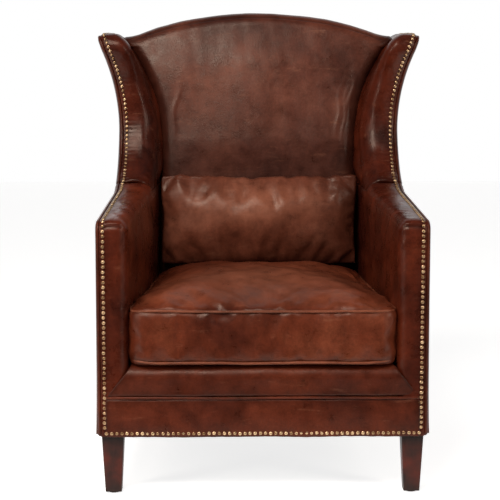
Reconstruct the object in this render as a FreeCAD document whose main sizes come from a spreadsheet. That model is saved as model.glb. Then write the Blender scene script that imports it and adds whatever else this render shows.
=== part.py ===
import FreeCAD
import Part
import Sketcher
import os
from math import atan2, sqrt

# Wingback armchair in leather, in millimetres. It stands on the floor at height 0, its front looks
# towards -Y, and left and right are as seen by someone who faces it. The pieces are the beech frame,
# the webbing, the padding and covers on the frame, the legs, and two loose cushions.
os.makedirs("parts", exist_ok=True)
doc = FreeCAD.newDocument("wingback_armchair")

# Driving dimensions. Each is set here once, and every piece reads it from the sheet.
DIMENSIONS = [
    ("depth", 830, "front welt of the seat cushion to the top of the outside back"),
    ("cushionProud", 10, "how far the seat cushion stands in front of the arms"),
    ("frontWidth", 770, "over the outside arms at their front"),
    ("rearWidth", 716, "over the outside panels at the back"),
    ("innerFront", 626, "between the arms at their front"),
    ("innerRear", 500, "between the inside panels at the plane of the back"),
    ("shoulderHeight", 1066, "floor to the tops of the wings"),
    ("camelRise", 60.5, "rise of the middle of the back over the tops of the wings"),
    ("camelHalf", 370, "middle of the back to where its top runs level"),
    ("camelShare", 0.8437, "share of the top curve that its convex part takes"),
    ("backRake", 5, "lean of the outside back, degrees"),
    ("flareStart", 810, "height where wings and back begin to lean outward"),
    ("flareRadius", 640, "curve of the outward lean"),
    ("armHeight", 643, "floor to the top of the arm at its front"),
    ("armRise", 4, "slope of the arm towards the back, degrees"),
    ("wingDepth", 235, "deepest point of the wing's front edge to the top of the outside back"),
    ("wingLowerRadius", 200, "curve from the arm up to that point"),
    ("wingUpperRadius", 260, "curve from that point up to the tip"),
    ("wingTipRound", 28, "rounding of the wing's tip"),
    ("seamAngle", 26, "where the inside wing meets the inside arm, degrees along the lower curve"),
    ("outsidePanel", 5, "leather, card and wadding on the outside"),
    ("board", 30, "thickness of the boards of the sides"),
    ("backBoard", 32, "thickness of the boards of the back"),
    ("postWidth", 50, "width of a back post"),
    ("capDepth", 24, "cover behind the back's padding below the tops of the wings"),
    ("padWrap", 22, "padding over the front and top edges of the frame"),
    ("topWrap", 12, "padding over the top rail of the back"),
    ("frontPad", 12, "padding on the front faces"),
    ("legHeight", 139, "floor to the underside of the covers"),
    ("legPlate", 3, "steel plate between leg and frame"),
    ("plateSide", 46, "side of that plate"),
    ("legTop", 52, "side of a leg at its top"),
    ("legFoot", 38, "side of a leg at its foot"),
    ("legInset", 9, "leg back from the outside of the covers"),
    ("legSplay", 56, "how far a rear leg's foot stands behind its top"),
    ("legRound", 4, "rounding of a leg's long edges"),
    ("glideHeight", 4, "nylon glide under a leg"),
    ("glideWidth", 24, "diameter of that glide"),
    ("boltWidth", 8, "diameter of a leg's bolt"),
    ("boltDepth", 34, "length of the bolt inside the leg"),
    ("boltPlay", 0.2, "bolt hole over bolt"),
    ("frontRailDepth", 28, "thickness of the front rail"),
    ("railHeight", 90, "height of the seat rails"),
    ("postDepth", 60, "front post from front to back"),
    ("armRail", 45, "height of an arm rail"),
    ("stayDepth", 45, "wing stay behind its deepest point"),
    ("wingRail", 48, "height of a wing rail"),
    ("topRail", 80, "height of the top rail of the back"),
    ("tackRail", 30, "height of an arm's tack rail"),
    ("tackLift", 28, "space between side rail and tack rail"),
    ("backTackRail", 50, "height of the back's tack rail"),
    ("backTackLift", 60, "space between rear rail and the back's tack rail"),
    ("cornerBlock", 84, "short sides of a corner block"),
    ("blockHeight", 60, "height of a corner block"),
    ("webWidth", 50, "width of a webbing strip"),
    ("webThickness", 2, "thickness of a webbing strip"),
    ("seatWebPitch", 92, "spacing of the seat webbing"),
    ("uprightWebPitch", 100, "spacing of the upright strips in the back"),
    ("levelWebPitch", 110, "spacing of the level strips in the back"),
    ("levelWebStart", 115, "lowest level strip above the foot of the back's tack rail"),
    ("webMargin", 6, "end of a strip to the edge of what it is tacked to"),
    ("dustCover", 1.5, "thickness of the dust cover"),
    ("dustMargin", 2, "dust cover around the leg plates"),
    ("weltWidth", 8, "diameter of the welts"),
    ("weltProud", 2, "how far the front welt stands out of the padded faces"),
    ("railPanelSide", 364, "middle to the end of the front rail panel"),
    ("mitreIn", 307, "middle to the top end of the lip's mitre"),
    ("lipTop", 305, "floor to the top of the lip and the seat deck"),
    ("lipDepth", 75, "lip from front to back"),
    ("lipRound", 26, "rounding of the lip's front edge"),
    ("armRound", 20, "rounding of the inner top edge of the arms"),
    ("outerRound", 8, "rounding of the outer edges of arms and wings"),
    ("wingRound", 24, "rounding of the inner front edge of the wings"),
    ("edgeRound", 4, "rounding of the padded front faces"),
    ("backDepth", 209, "inside back at the seat to the top of the outside back"),
    ("backBend", 690, "height where the inside back begins to lean"),
    ("backLean", 12.5, "lean of the inside back above that, degrees"),
    ("backCurve", 500, "curve of the inside back where it begins to lean"),
    ("backRoll", 40, "rounding of the top front edge of the back"),
    ("cushionGap", 0.5, "loose cushion to what is beside it"),
    ("seatBottom", 311, "floor to the bottom welt of the seat cushion"),
    ("seatEdge", 438, "floor to the top welt of the seat cushion"),
    ("seatCrown", 44, "rise of the seat cushion over its top welt"),
    ("seatBulge", 3, "swell of the seat cushion's sides between the welts"),
    ("seatUnder", 12, "how far the underside of the seat cushion is drawn in"),
    ("seatDraw", 4, "how far each side of the seat cushion is drawn in between its corners"),
    ("seatCorner", 34, "rounding of the seat cushion's corners"),
    ("coreInset", 26, "foam core inside the covers of a cushion"),
    ("coreFoot", 13, "foam core above the underside of the seat cushion"),
    ("pillowWidth", 524, "lumbar cushion from corner to corner"),
    ("pillowHeight", 239, "lumbar cushion, from its bottom to its top corners"),
    ("pillowThick", 104, "lumbar cushion at its middle"),
    ("pillowDraw", 9, "how far the sides and the top of the lumbar cushion are drawn in"),
    ("pillowHem", 52, "foam core inside the seam of the lumbar cushion"),
    ("pillowLean", 5, "lean of the lumbar cushion, degrees"),
    ("pillowLift", 0.68, "share of the seat's crown that the lumbar cushion stands on"),
]
dim = doc.addObject("Spreadsheet::Sheet", "dim")
for row, (alias, size, meaning) in enumerate(DIMENSIONS, start=1):
    dim.set(f"A{row}", alias)
    dim.set(f"B{row}", str(size))
    dim.setAlias(f"B{row}", alias)
    dim.set(f"C{row}", meaning)
doc.recompute()

X_AXIS = FreeCAD.Vector(1, 0, 0)
Y_AXIS = FreeCAD.Vector(0, 1, 0)
Z_AXIS = FreeCAD.Vector(0, 0, 1)
PLANE_TURN = {
    "XY": FreeCAD.Rotation(),
    "XZ": FreeCAD.Rotation(X_AXIS, 90),
    "YZ": FreeCAD.Rotation(FreeCAD.Vector(1, 1, 1), 120),
}
PLANE_AXIS = {"XY": "z", "XZ": "y", "YZ": "x"}
pieces = []


def value(expression):
    """The number that an expression on the sheet gives now."""
    result = dim.evalExpression(str(expression))
    return float(getattr(result, "Value", result))


def piece(item, label):
    """Keep an object as one sub-part under its own name."""
    item.Label = label
    pieces.append(item)
    return item


# Sketches: an outline is a list of corners. Each corner is (across, up), or (across, up, radius, turn)
# where an arc leads to the next corner, with turn 1 for a left-hand bend and -1 for a right-hand one.
def arc_between(start, end, radius, turn):
    middle = (start + end) * 0.5
    half = (end - start).Length / 2
    across = FreeCAD.Vector(start.y - end.y, end.x - start.x, 0).normalize()
    centre = middle + across * (turn * sqrt(max(radius * radius - half * half, 0)))
    first, last = (start, end) if turn > 0 else (end, start)
    circle = Part.Circle(centre, Z_AXIS, radius)
    return Part.ArcOfCircle(
        circle, atan2(first.y - centre.y, first.x - centre.x), atan2(last.y - centre.y, last.x - centre.x)
    )


def bind(sketch, constraint, expression):
    index = sketch.addConstraint(constraint)
    sketch.setExpression(f"Constraints[{index}]", str(expression))


def draw(sketch, outline):
    """Close an outline in a sketch and bind every corner and radius to the sheet."""
    corners = [FreeCAD.Vector(value(corner[0]), value(corner[1]), 0) for corner in outline]
    count = len(outline)
    ends = []
    for index, corner in enumerate(outline):
        start, end = corners[index], corners[(index + 1) % count]
        if len(corner) == 2:
            sketch.addGeometry(Part.LineSegment(start, end), False)
            ends.append((1, 2))
        else:
            sketch.addGeometry(arc_between(start, end, value(corner[2]), corner[3]), False)
            ends.append((1, 2) if corner[3] > 0 else (2, 1))
    for index in range(count):
        after = (index + 1) % count
        sketch.addConstraint(Sketcher.Constraint("Coincident", index, ends[index][1], after, ends[after][0]))
    for index, corner in enumerate(outline):
        vertex = ends[index][0]
        bind(sketch, Sketcher.Constraint("DistanceX", -1, 1, index, vertex, corners[index].x), corner[0])
        bind(sketch, Sketcher.Constraint("DistanceY", -1, 1, index, vertex, corners[index].y), corner[1])
        if len(corner) == 4:
            bind(sketch, Sketcher.Constraint("Radius", index, value(corner[2])), corner[2])
    return sketch


def sketch_on(name, plane, outline, offset="0"):
    """A sketch on a main plane, moved along that plane's axis."""
    sketch = doc.addObject("Sketcher::SketchObject", name)
    sketch.Placement = FreeCAD.Placement(FreeCAD.Vector(0, 0, 0), PLANE_TURN[plane])
    sketch.setExpression(f"Placement.Base.{PLANE_AXIS[plane]}", str(offset))
    return draw(sketch, outline)


def slab(name, plane, outline, start, length):
    """An outline drawn out along its plane's axis, from start, over a length."""
    item = doc.addObject("Part::Extrusion", name)
    item.Base = sketch_on(name + "_outline", plane, outline, start)
    item.DirMode = "Custom"
    item.Dir = {"x": X_AXIS, "y": Y_AXIS, "z": Z_AXIS}[PLANE_AXIS[plane]]
    item.Solid = True
    item.setExpression("LengthFwd", str(length))
    return item


def loft(name, sketches, ruled=True):
    item = doc.addObject("Part::Loft", name)
    item.Sections = sketches
    item.Solid = True
    item.Ruled = ruled
    return item


def common(name, *shapes):
    item = doc.addObject("Part::MultiCommon", name)
    item.Shapes = list(shapes)
    return item


def fuse(name, *shapes):
    item = doc.addObject("Part::MultiFuse", name)
    item.Shapes = list(shapes)
    item.Refine = True
    return item


def cut(name, base, tool):
    item = doc.addObject("Part::Cut", name)
    item.Base = base
    item.Tool = tool
    return item


def rounded(name, base, radius, chosen):
    """Round the edges that chosen picks by their points."""
    doc.recompute()
    item = doc.addObject("Part::Fillet", name)
    item.Base = base
    size = value(radius)
    edges = enumerate(base.Shape.Edges, start=1)
    item.Edges = [(index, size, size) for index, edge in edges if chosen(edge_points(edge))]
    return item


def edge_points(edge):
    return edge.discretize(5)


def padded_body(name, plane, outline, start, length):
    """A pad of an outline that starts at a distance along its own body's origin plane's axis."""
    body = doc.addObject("PartDesign::Body", name)
    sketch = body.newObject("Sketcher::SketchObject", name + "_sketch")
    role = plane + "_Plane"
    origin_plane = next(item for item in body.Origin.OriginFeatures if item.Role == role)
    sketch.AttachmentSupport = [(origin_plane, "")]
    sketch.MapMode = "FlatFace"
    away = f"-({start})" if plane == "XZ" else f"{start}"
    sketch.setExpression("AttachmentOffset.Base.z", away)
    draw(sketch, outline)
    pad = body.newObject("PartDesign::Pad", name + "_pad")
    pad.Profile = sketch
    pad.setExpression("Length", str(length))
    pad.Reversed = plane == "XZ"
    body.Tip = pad
    return body


def other_side(item, label):
    """The same piece on the left-hand side."""
    mirrored = doc.addObject("Part::Mirroring", label)
    mirrored.Source = item
    mirrored.Normal = X_AXIS
    return piece(mirrored, label)


def pair(item, label):
    piece(item, label + "_right")
    other_side(item, label + "_left")
    return item


# Lines and planes that several pieces share, as expressions on the sheet.
FRONT = "(-dim.depth / 2 + dim.cushionProud)"
REAR = "(dim.depth / 2)"
PADDED_FRONT = f"({FRONT} + dim.frontPad)"
FRAME_BASE = "(dim.legHeight + dim.legPlate)"
RAIL_TOP = f"({FRAME_BASE} + dim.railHeight)"
SIDE_RAIL_TOP = f"({RAIL_TOP} + dim.webThickness)"
PAD_BASE = f"({RAIL_TOP} + 2 * dim.webThickness)"
POST_BACK = f"({PADDED_FRONT} + dim.postDepth)"
LIP_BACK = f"({FRONT} + dim.lipDepth)"
BACK_FACE = f"({REAR} - dim.backDepth)"
TOP = "(dim.shoulderHeight + dim.camelRise)"


def rear_plane(height, inward="0"):
    """Y of the outside back at a height, or of a plane inside it."""
    return f"({REAR} - ({TOP} - ({height})) * tan(dim.backRake) - ({inward}))"


BEHIND_FRAME = "dim.outsidePanel"
FRAME_FACE = "(dim.outsidePanel + dim.backBoard)"
PAD_BACK = "(dim.outsidePanel + dim.backBoard + 2 * dim.webThickness)"


def outer_side(y, inward="0"):
    """X of the outside of a side panel at a depth, or of a plane inside it."""
    taper = f"(dim.frontWidth - dim.rearWidth) / 2 / ({REAR} - {FRONT})"
    return f"(dim.frontWidth / 2 - (({y}) - {FRONT}) * {taper} - ({inward}))"


def inner_side(y, inward="0"):
    """X of the face of an inside panel at a depth."""
    taper = f"(dim.innerFront - dim.innerRear) / 2 / ({REAR} - {FRONT})"
    return f"(dim.innerFront / 2 - (({y}) - {FRONT}) * {taper} - ({inward}))"


BOARD_OUT = "dim.outsidePanel"
BOARD_IN = "(dim.outsidePanel + dim.board)"
POST_IN = "(dim.outsidePanel + dim.postWidth)"


# Flared layers. A layer runs from front to back between two upright surfaces that lean outward in an
# arc above flareStart, so every board, pad and panel of a side is the part of a layer that its
# side-view profile cuts out.
FLARE = f"(dim.flareRadius - sqrt(dim.flareRadius^2 - ({TOP} - dim.flareStart)^2))"


def layer_section(name, inner, outer, y):
    outline = [
        (inner, "dim.legHeight"),
        (outer, "dim.legHeight"),
        (outer, "dim.flareStart", "dim.flareRadius", -1),
        (f"{outer} + {FLARE}", TOP),
        (f"{inner} + {FLARE}", TOP, "dim.flareRadius", 1),
        (inner, "dim.flareStart"),
    ]
    return sketch_on(name, "XZ", outline, y)


def span_section(name, outer, y):
    outline = [
        (f"-{outer}", "dim.legHeight"),
        (outer, "dim.legHeight"),
        (outer, "dim.flareStart", "dim.flareRadius", -1),
        (f"{outer} + {FLARE}", TOP),
        (f"-{outer} - {FLARE}", TOP, "dim.flareRadius", -1),
        (f"-{outer}", "dim.flareStart"),
    ]
    return sketch_on(name, "XZ", outline, y)


def side_layer(name, inner, outer):
    """A layer of the right-hand side; inner and outer give X at a depth."""
    front = layer_section(name + "_front", inner(FRONT), outer(FRONT), FRONT)
    rear = layer_section(name + "_rear", inner(REAR), outer(REAR), REAR)
    return loft(name, [front, rear])


def span_layer(name, outer):
    """The space between a surface of the right-hand side and its mirror image."""
    front = span_section(name + "_front", outer(FRONT), FRONT)
    rear = span_section(name + "_rear", outer(REAR), REAR)
    return loft(name, [front, rear])


def beneath_panel(y):
    return outer_side(y, BOARD_OUT)


def behind_board(y):
    return outer_side(y, BOARD_IN)


def inside_post(y):
    return outer_side(y, POST_IN)


# Side-view lines of arm and wing. The top of the arm rises to a hollow arc, a second arc carries the
# wing's front edge up and forward to its rounded tip, and inset gives the same lines further inside.
LOWER_Y = f"({REAR} - dim.wingDepth - dim.wingLowerRadius)"
ARM_END_Y = f"({LOWER_Y} + dim.wingLowerRadius * sin(dim.armRise))"
HOLLOW_Z = (
    f"(dim.armHeight + dim.wingLowerRadius * cos(dim.armRise) + ({ARM_END_Y} - {FRONT}) * tan(dim.armRise))"
)
UPPER_Y = f"({LOWER_Y} + dim.wingLowerRadius - dim.wingUpperRadius)"
TIP_REACH = "(dim.wingUpperRadius + dim.wingTipRound)"
TIP_Z = "(dim.shoulderHeight - dim.wingTipRound)"
TIP_Y = f"({UPPER_Y} + sqrt({TIP_REACH}^2 - ({TIP_Z} - {HOLLOW_Z})^2))"


def lower_point(angle, inset="0"):
    """A point on the lower arc, at an angle from straight down."""
    reach = f"(dim.wingLowerRadius + {inset})"
    return f"({LOWER_Y} + {reach} * sin({angle}))", f"({HOLLOW_Z} - {reach} * cos({angle}))"


def hollow_point(inset="0"):
    return f"({LOWER_Y} + dim.wingLowerRadius + {inset})", HOLLOW_Z


def upper_end(inset="0"):
    """Where the wing's front edge meets the rounding of its tip."""
    share = f"((dim.wingUpperRadius + {inset}) / {TIP_REACH})"
    end_y = f"({UPPER_Y} + ({TIP_Y} - {UPPER_Y}) * {share})"
    end_z = f"({HOLLOW_Z} + ({TIP_Z} - {HOLLOW_Z}) * {share})"
    return end_y, end_z


def arm_top(y, inset="0"):
    """Height of the arm's top line at a depth."""
    end_y, end_z = lower_point("dim.armRise", inset)
    return f"({end_z} - ({end_y} - ({y})) * tan(dim.armRise))"


def lower_radius(inset):
    return f"(dim.wingLowerRadius + {inset})"


def wing_edge(inset="0"):
    """The wing's front edge, from where it leaves the arm's seam to the top of its tip."""
    upper_radius = f"(dim.wingUpperRadius + {inset})"
    return [
        (*lower_point("dim.seamAngle", inset), lower_radius(inset), 1),
        (*hollow_point(inset), upper_radius, 1),
        (*upper_end(inset), f"(dim.wingTipRound - {inset})", -1),
        (TIP_Y, f"(dim.shoulderHeight - {inset})"),
    ]


SEAM_Z = lower_point("dim.seamAngle")[1]


HALF_SPAN = f"(dim.frontWidth / 2 + {FLARE})"


def side_slab(name, outline):
    """A side-view outline, as wide as the right-hand half of the chair."""
    return slab(name, "YZ", outline, "0", HALF_SPAN)


def full_slab(name, outline):
    """A side-view outline, as wide as the chair."""
    return slab(name, "YZ", outline, f"-{HALF_SPAN}", f"2 * {HALF_SPAN}")


def arm_outline(base, inset, front, behind):
    """The side view of an arm up to its seam with the wing."""
    return [
        (front, base),
        (front, arm_top(front, inset)),
        (*lower_point("dim.armRise", inset), lower_radius(inset), 1),
        lower_point("dim.seamAngle", inset),
        (rear_plane(lower_point("dim.seamAngle", inset)[1], behind), lower_point("dim.seamAngle", inset)[1]),
        (rear_plane(base, behind), base),
    ]


def wing_outline(inset, behind):
    """The side view of a wing above its seam with the arm."""
    seam = lower_point("dim.seamAngle", inset)[1]
    top = f"(dim.shoulderHeight - {inset})"
    return wing_edge(inset) + [(rear_plane(top, behind), top), (rear_plane(seam, behind), seam)]


# Frame of one side: boards sawn from the board layer.
board = side_layer("board_layer", behind_board, beneath_panel)
WRAP = "dim.padWrap"
ARM_RAIL_FOOT = f"(dim.armRail / cos(dim.armRise))"


def arm_foot(y):
    return f"({arm_top(y, WRAP)} - {ARM_RAIL_FOOT})"


STAY_BACK = f"({hollow_point(WRAP)[0]} + dim.stayDepth)"
STAY_FRONT = lower_point("dim.seamAngle", WRAP)[0]
WING_BOARD_TOP = "(dim.shoulderHeight - dim.padWrap)"
WING_RAIL_FOOT = f"({WING_BOARD_TOP} - dim.wingRail)"
TACK_FOOT = f"({SIDE_RAIL_TOP} + dim.tackLift)"
TACK_TOP = f"({TACK_FOOT} + dim.tackRail)"


def frame_board(name, outline):
    return pair(common(name, board, side_slab(name + "_profile", outline)), name)


def run_to_back(foot, top, front):
    """A board that runs level from a depth to the back posts."""
    return [
        (front, foot),
        (front, top),
        (rear_plane(top, FRAME_FACE), top),
        (rear_plane(foot, FRAME_FACE), foot),
    ]


def side_frame():
    frame_board("front_post", [
        (PADDED_FRONT, FRAME_BASE),
        (PADDED_FRONT, arm_foot(PADDED_FRONT)),
        (POST_BACK, arm_foot(POST_BACK)),
        (POST_BACK, FRAME_BASE),
    ])
    frame_board("side_rail", run_to_back(FRAME_BASE, SIDE_RAIL_TOP, POST_BACK))
    frame_board("arm_tack_rail", run_to_back(TACK_FOOT, TACK_TOP, POST_BACK))
    level_y = rear_plane("dim.armHeight", FRAME_FACE)
    top_y = rear_plane(arm_top(level_y, WRAP), FRAME_FACE)
    foot_y = rear_plane(arm_foot(level_y), FRAME_FACE)
    frame_board("arm_rail", [
        (PADDED_FRONT, arm_foot(PADDED_FRONT)),
        (PADDED_FRONT, arm_top(PADDED_FRONT, WRAP)),
        (top_y, arm_top(top_y, WRAP)),
        (foot_y, arm_foot(foot_y)),
    ])
    frame_board("wing_stay", [
        (STAY_FRONT, arm_top(STAY_FRONT, WRAP)),
        *wing_edge(WRAP),
        (STAY_BACK, WING_BOARD_TOP),
        (STAY_BACK, arm_top(STAY_BACK, WRAP)),
    ])
    frame_board("wing_rail", run_to_back(WING_RAIL_FOOT, WING_BOARD_TOP, STAY_BACK))


side_frame()

# Frame of the back: posts and rails sawn from one raked board, under a camel-shaped top.
CAMEL_TURN = "(2 * atan(dim.camelRise / dim.camelHalf))"
CAMEL_RADII = f"(dim.camelHalf / sin({CAMEL_TURN}))"
CAMEL_RADIUS = f"(dim.camelShare * {CAMEL_RADII})"
HOLLOW_RADIUS = f"((1 - dim.camelShare) * {CAMEL_RADII})"


def camel_line(drop):
    """The top of the back from right to left: level, hollow, crown, hollow and level again."""
    radius = f"({CAMEL_RADIUS} - {drop})"
    across = f"({radius} * sin({CAMEL_TURN}))"
    up = f"({TOP} - {CAMEL_RADIUS} + {radius} * cos({CAMEL_TURN}))"
    level = f"(dim.shoulderHeight - {drop})"
    hollow = f"({HOLLOW_RADIUS} + {drop})"
    return [
        ("dim.camelHalf", level, hollow, -1),
        (across, up, radius, 1),
        (f"-{across}", up, hollow, -1),
        ("-dim.camelHalf", level),
    ]


def under_camel(name, drop):
    """Everything below the top of the back, or below a line inside it."""
    level = f"(dim.shoulderHeight - {drop})"
    outline = [
        (f"-{HALF_SPAN}", "0"),
        (HALF_SPAN, "0"),
        (HALF_SPAN, level),
        *camel_line(drop),
        (f"-{HALF_SPAN}", level),
    ]
    return slab(name, "XZ", outline, FRONT, "dim.depth")


def raked(name, foot, top, outer, inner):
    """A board of the back between two heights and two planes behind and in front of it."""
    return full_slab(name, [
        (rear_plane(foot, outer), foot),
        (rear_plane(top, outer), top),
        (rear_plane(top, inner), top),
        (rear_plane(foot, inner), foot),
    ])


bay = span_layer("bay_layer", inside_post)
BACK_TACK_FOOT = f"({RAIL_TOP} + dim.backTackLift)"


def back_frame():
    whole = raked("back_board", FRAME_BASE, TOP, BEHIND_FRAME, FRAME_FACE)
    below = under_camel("frame_camel", "dim.topWrap")
    post = side_layer("post_layer", inside_post, beneath_panel)
    pair(common("back_post", post, whole, below), "back_post")
    lower = under_camel("top_rail_foot", "(dim.topWrap + dim.topRail)")
    piece(cut("back_top_rail", common("back_top_board", bay, whole, below), lower), "back_top_rail")
    rail = raked("rear_rail_board", FRAME_BASE, RAIL_TOP, BEHIND_FRAME, FRAME_FACE)
    piece(common("rear_rail", bay, rail), "rear_rail")
    tack_top = f"({BACK_TACK_FOOT} + dim.backTackRail)"
    tack = raked("back_tack_board", BACK_TACK_FOOT, tack_top, BEHIND_FRAME, FRAME_FACE)
    piece(common("back_tack_rail", bay, tack), "back_tack_rail")


back_frame()


# Front rail, corner blocks and dust cover: flat boards seen from above.
def board_inside(y, inward="0"):
    return outer_side(y, f"{BOARD_IN} + {inward}")


FRONT_RAIL_BACK = f"({PADDED_FRONT} + dim.frontRailDepth)"


def mirrored_outline(right_side):
    """A symmetrical outline from its right-hand corners, listed from front to back."""
    left_side = [(f"-{x}", y) for x, y in reversed(right_side)]
    return right_side + left_side


def seat_boards():
    rail = [(board_inside(PADDED_FRONT), PADDED_FRONT), (board_inside(FRONT_RAIL_BACK), FRONT_RAIL_BACK)]
    piece(padded_body("front_rail", "XY", mirrored_outline(rail), FRAME_BASE, "dim.railHeight"), "front_rail")
    block_end = f"({FRONT_RAIL_BACK} + dim.cornerBlock)"
    front_block = [
        (board_inside(POST_BACK), POST_BACK),
        (board_inside(block_end), block_end),
        (board_inside(FRONT_RAIL_BACK, "dim.cornerBlock"), FRONT_RAIL_BACK),
        (board_inside(FRONT_RAIL_BACK), FRONT_RAIL_BACK),
    ]
    pair(padded_body("front_block", "XY", front_block, FRAME_BASE, "dim.blockHeight"), "corner_block_front")
    back_y = rear_plane(FRAME_BASE, FRAME_FACE)
    over = f"({back_y} + dim.backBoard)"
    rear_start = f"({back_y} - dim.cornerBlock)"
    rear_block = [
        (board_inside(rear_start), rear_start),
        (board_inside(over), over),
        (board_inside(back_y, "dim.cornerBlock"), over),
        (board_inside(back_y, "dim.cornerBlock"), back_y),
    ]
    plan = slab("rear_block_plan", "XY", rear_block, FRAME_BASE, "dim.blockHeight")
    block_top = f"({FRAME_BASE} + dim.blockHeight)"
    before_back = slab("rear_block_side", "YZ", [
        (FRONT, FRAME_BASE),
        (FRONT, block_top),
        (rear_plane(block_top, FRAME_FACE), block_top),
        (rear_plane(FRAME_BASE, FRAME_FACE), FRAME_BASE),
    ], "0", "dim.frontWidth / 2")
    pair(common("rear_block", plan, before_back), "corner_block_rear")


seat_boards()

# Legs. Each has a square foot and top, a nylon glide, a steel plate under the frame and a bolt.
FRONT_LEG_X = f"({outer_side(FRONT)} - dim.legInset - dim.legTop / 2)"
FRONT_LEG_Y = f"({FRONT} + dim.legInset + dim.legTop / 2)"
REAR_LEG_Y = f"({rear_plane('dim.legHeight')} - dim.legInset - dim.legTop / 2)"
REAR_LEG_X = f"({outer_side(REAR_LEG_Y)} - dim.legInset - dim.legTop / 2)"


def square(x, y, side):
    half = f"{side} / 2"
    return [
        (f"{x} - {half}", f"{y} - {half}"),
        (f"{x} + {half}", f"{y} - {half}"),
        (f"{x} + {half}", f"{y} + {half}"),
        (f"{x} - {half}", f"{y} + {half}"),
    ]


def cylinder(name, x, y, foot, width, height):
    item = doc.addObject("Part::Cylinder", name)
    item.setExpression("Radius", f"({width}) / 2")
    item.setExpression("Height", str(height))
    item.setExpression("Placement.Base.x", x)
    item.setExpression("Placement.Base.y", y)
    item.setExpression("Placement.Base.z", foot)
    return item


def leg(name, x, y, splay):
    """A tapered square leg whose foot stands splay behind its top."""
    foot_y = f"({y} + {splay})"
    foot = sketch_on(name + "_foot", "XY", square(x, foot_y, "dim.legFoot"), "dim.glideHeight")
    top = sketch_on(name + "_top", "XY", square(x, y, "dim.legTop"), "dim.legHeight")
    shaft = loft(name + "_shaft", [foot, top])

    def runs_down(points):
        return abs(points[0].z - points[-1].z) > 1

    soft = rounded(name + "_rounded", shaft, "dim.legRound", runs_down)
    hole_foot = "(dim.legHeight - dim.boltDepth)"
    hole = cylinder(name + "_hole", x, y, hole_foot, "dim.boltWidth + dim.boltPlay", "dim.boltDepth")
    pair(cut(name, soft, hole), name)
    glide = cylinder(name + "_glide", x, foot_y, "0", "dim.glideWidth", "dim.glideHeight")
    pair(glide, name + "_glide")


def both_sides(items, label):
    """Several pieces of the right-hand side and their mirror images as one sub-part."""
    copies = []
    for item in items:
        mirrored = doc.addObject("Part::Mirroring", item.Name + "_left")
        mirrored.Source = item
        mirrored.Normal = X_AXIS
        copies.append(mirrored)
    group = doc.addObject("Part::Compound", label)
    group.Links = list(items) + copies
    return piece(group, label)


def leg_fittings():
    bolts = []
    plates = []
    for name, x, y in (("front", FRONT_LEG_X, FRONT_LEG_Y), ("rear", REAR_LEG_X, REAR_LEG_Y)):
        foot = "(dim.legHeight - dim.boltDepth)"
        bolts.append(cylinder(name + "_bolt", x, y, foot, "dim.boltWidth", "dim.boltDepth + dim.legPlate"))
        plan = square(x, y, "dim.plateSide")
        plate = slab(name + "_plate_blank", "XY", plan, "dim.legHeight", "dim.legPlate")
        width = "dim.boltWidth + dim.boltPlay"
        bore = cylinder(name + "_bore", x, y, "dim.legHeight", width, "dim.legPlate")
        plates.append(cut(name + "_plate", plate, bore))
    both_sides(bolts, "leg_bolts")
    both_sides(plates, "leg_plates")


leg("front_leg", FRONT_LEG_X, FRONT_LEG_Y, "0")
leg("rear_leg", REAR_LEG_X, REAR_LEG_Y, "dim.legSplay")
leg_fittings()


def dust_cover():
    """A sheet under the frame, cut out at each corner for the leg plates."""
    reach = "(dim.plateSide / 2 + dim.dustMargin)"
    front_in = f"({FRONT_LEG_X} - {reach})"
    front_y = f"({FRONT_LEG_Y} + {reach})"
    rear_in = f"({REAR_LEG_X} - {reach})"
    rear_y = f"({REAR_LEG_Y} - {reach})"
    foot = f"({FRAME_BASE} - dim.dustCover)"
    back_y = rear_plane(foot, BEHIND_FRAME)
    right_side = [
        (front_in, PADDED_FRONT),
        (front_in, front_y),
        (outer_side(front_y, BOARD_OUT), front_y),
        (outer_side(rear_y, BOARD_OUT), rear_y),
        (rear_in, rear_y),
        (rear_in, back_y),
    ]
    piece(padded_body("dust_cover", "XY", mirrored_outline(right_side), foot, "dim.dustCover"), "dust_cover")


dust_cover()


# Webbing: strips tacked across the seat rails and the back.
SEAT_STRIPS = range(-3, 4)
CROSS_STRIPS = range(6)
UPRIGHT_STRIPS = range(-2, 3)
LEVEL_STRIPS = range(5)


def box(name, corner, size):
    item = doc.addObject("Part::Box", name)
    for side, length in zip(("Length", "Width", "Height"), size):
        item.setExpression(side, str(length))
    for axis, place in zip("xyz", corner):
        item.setExpression(f"Placement.Base.{axis}", str(place))
    return item


def group(name, items):
    item = doc.addObject("Part::Compound", name)
    item.Links = items
    return item


def seat_webbing():
    back_y = rear_plane(RAIL_TOP, f"{BEHIND_FRAME} + dim.webMargin")
    front_y = f"({PADDED_FRONT} + dim.webMargin)"
    strips = []
    for step in SEAT_STRIPS:
        corner = (f"{step} * dim.seatWebPitch - dim.webWidth / 2", front_y, RAIL_TOP)
        size = ("dim.webWidth", f"{back_y} - {front_y}", "dim.webThickness")
        strips.append(box(f"lengthwise_strip_{step + 4}", corner, size))
    piece(group("seat_webbing_lengthwise", strips), "seat_webbing_lengthwise")
    strips = []
    for step in CROSS_STRIPS:
        front = f"({LIP_BACK} + dim.webMargin + {step} * dim.seatWebPitch)"
        half = outer_side(f"{front} + dim.webWidth", f"{BOARD_OUT} + dim.webMargin")
        corner = (f"-{half}", front, SIDE_RAIL_TOP)
        size = (f"2 * {half}", "dim.webWidth", "dim.webThickness")
        strips.append(box(f"crosswise_strip_{step + 1}", corner, size))
    piece(group("seat_webbing_crosswise", strips), "seat_webbing_crosswise")


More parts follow.
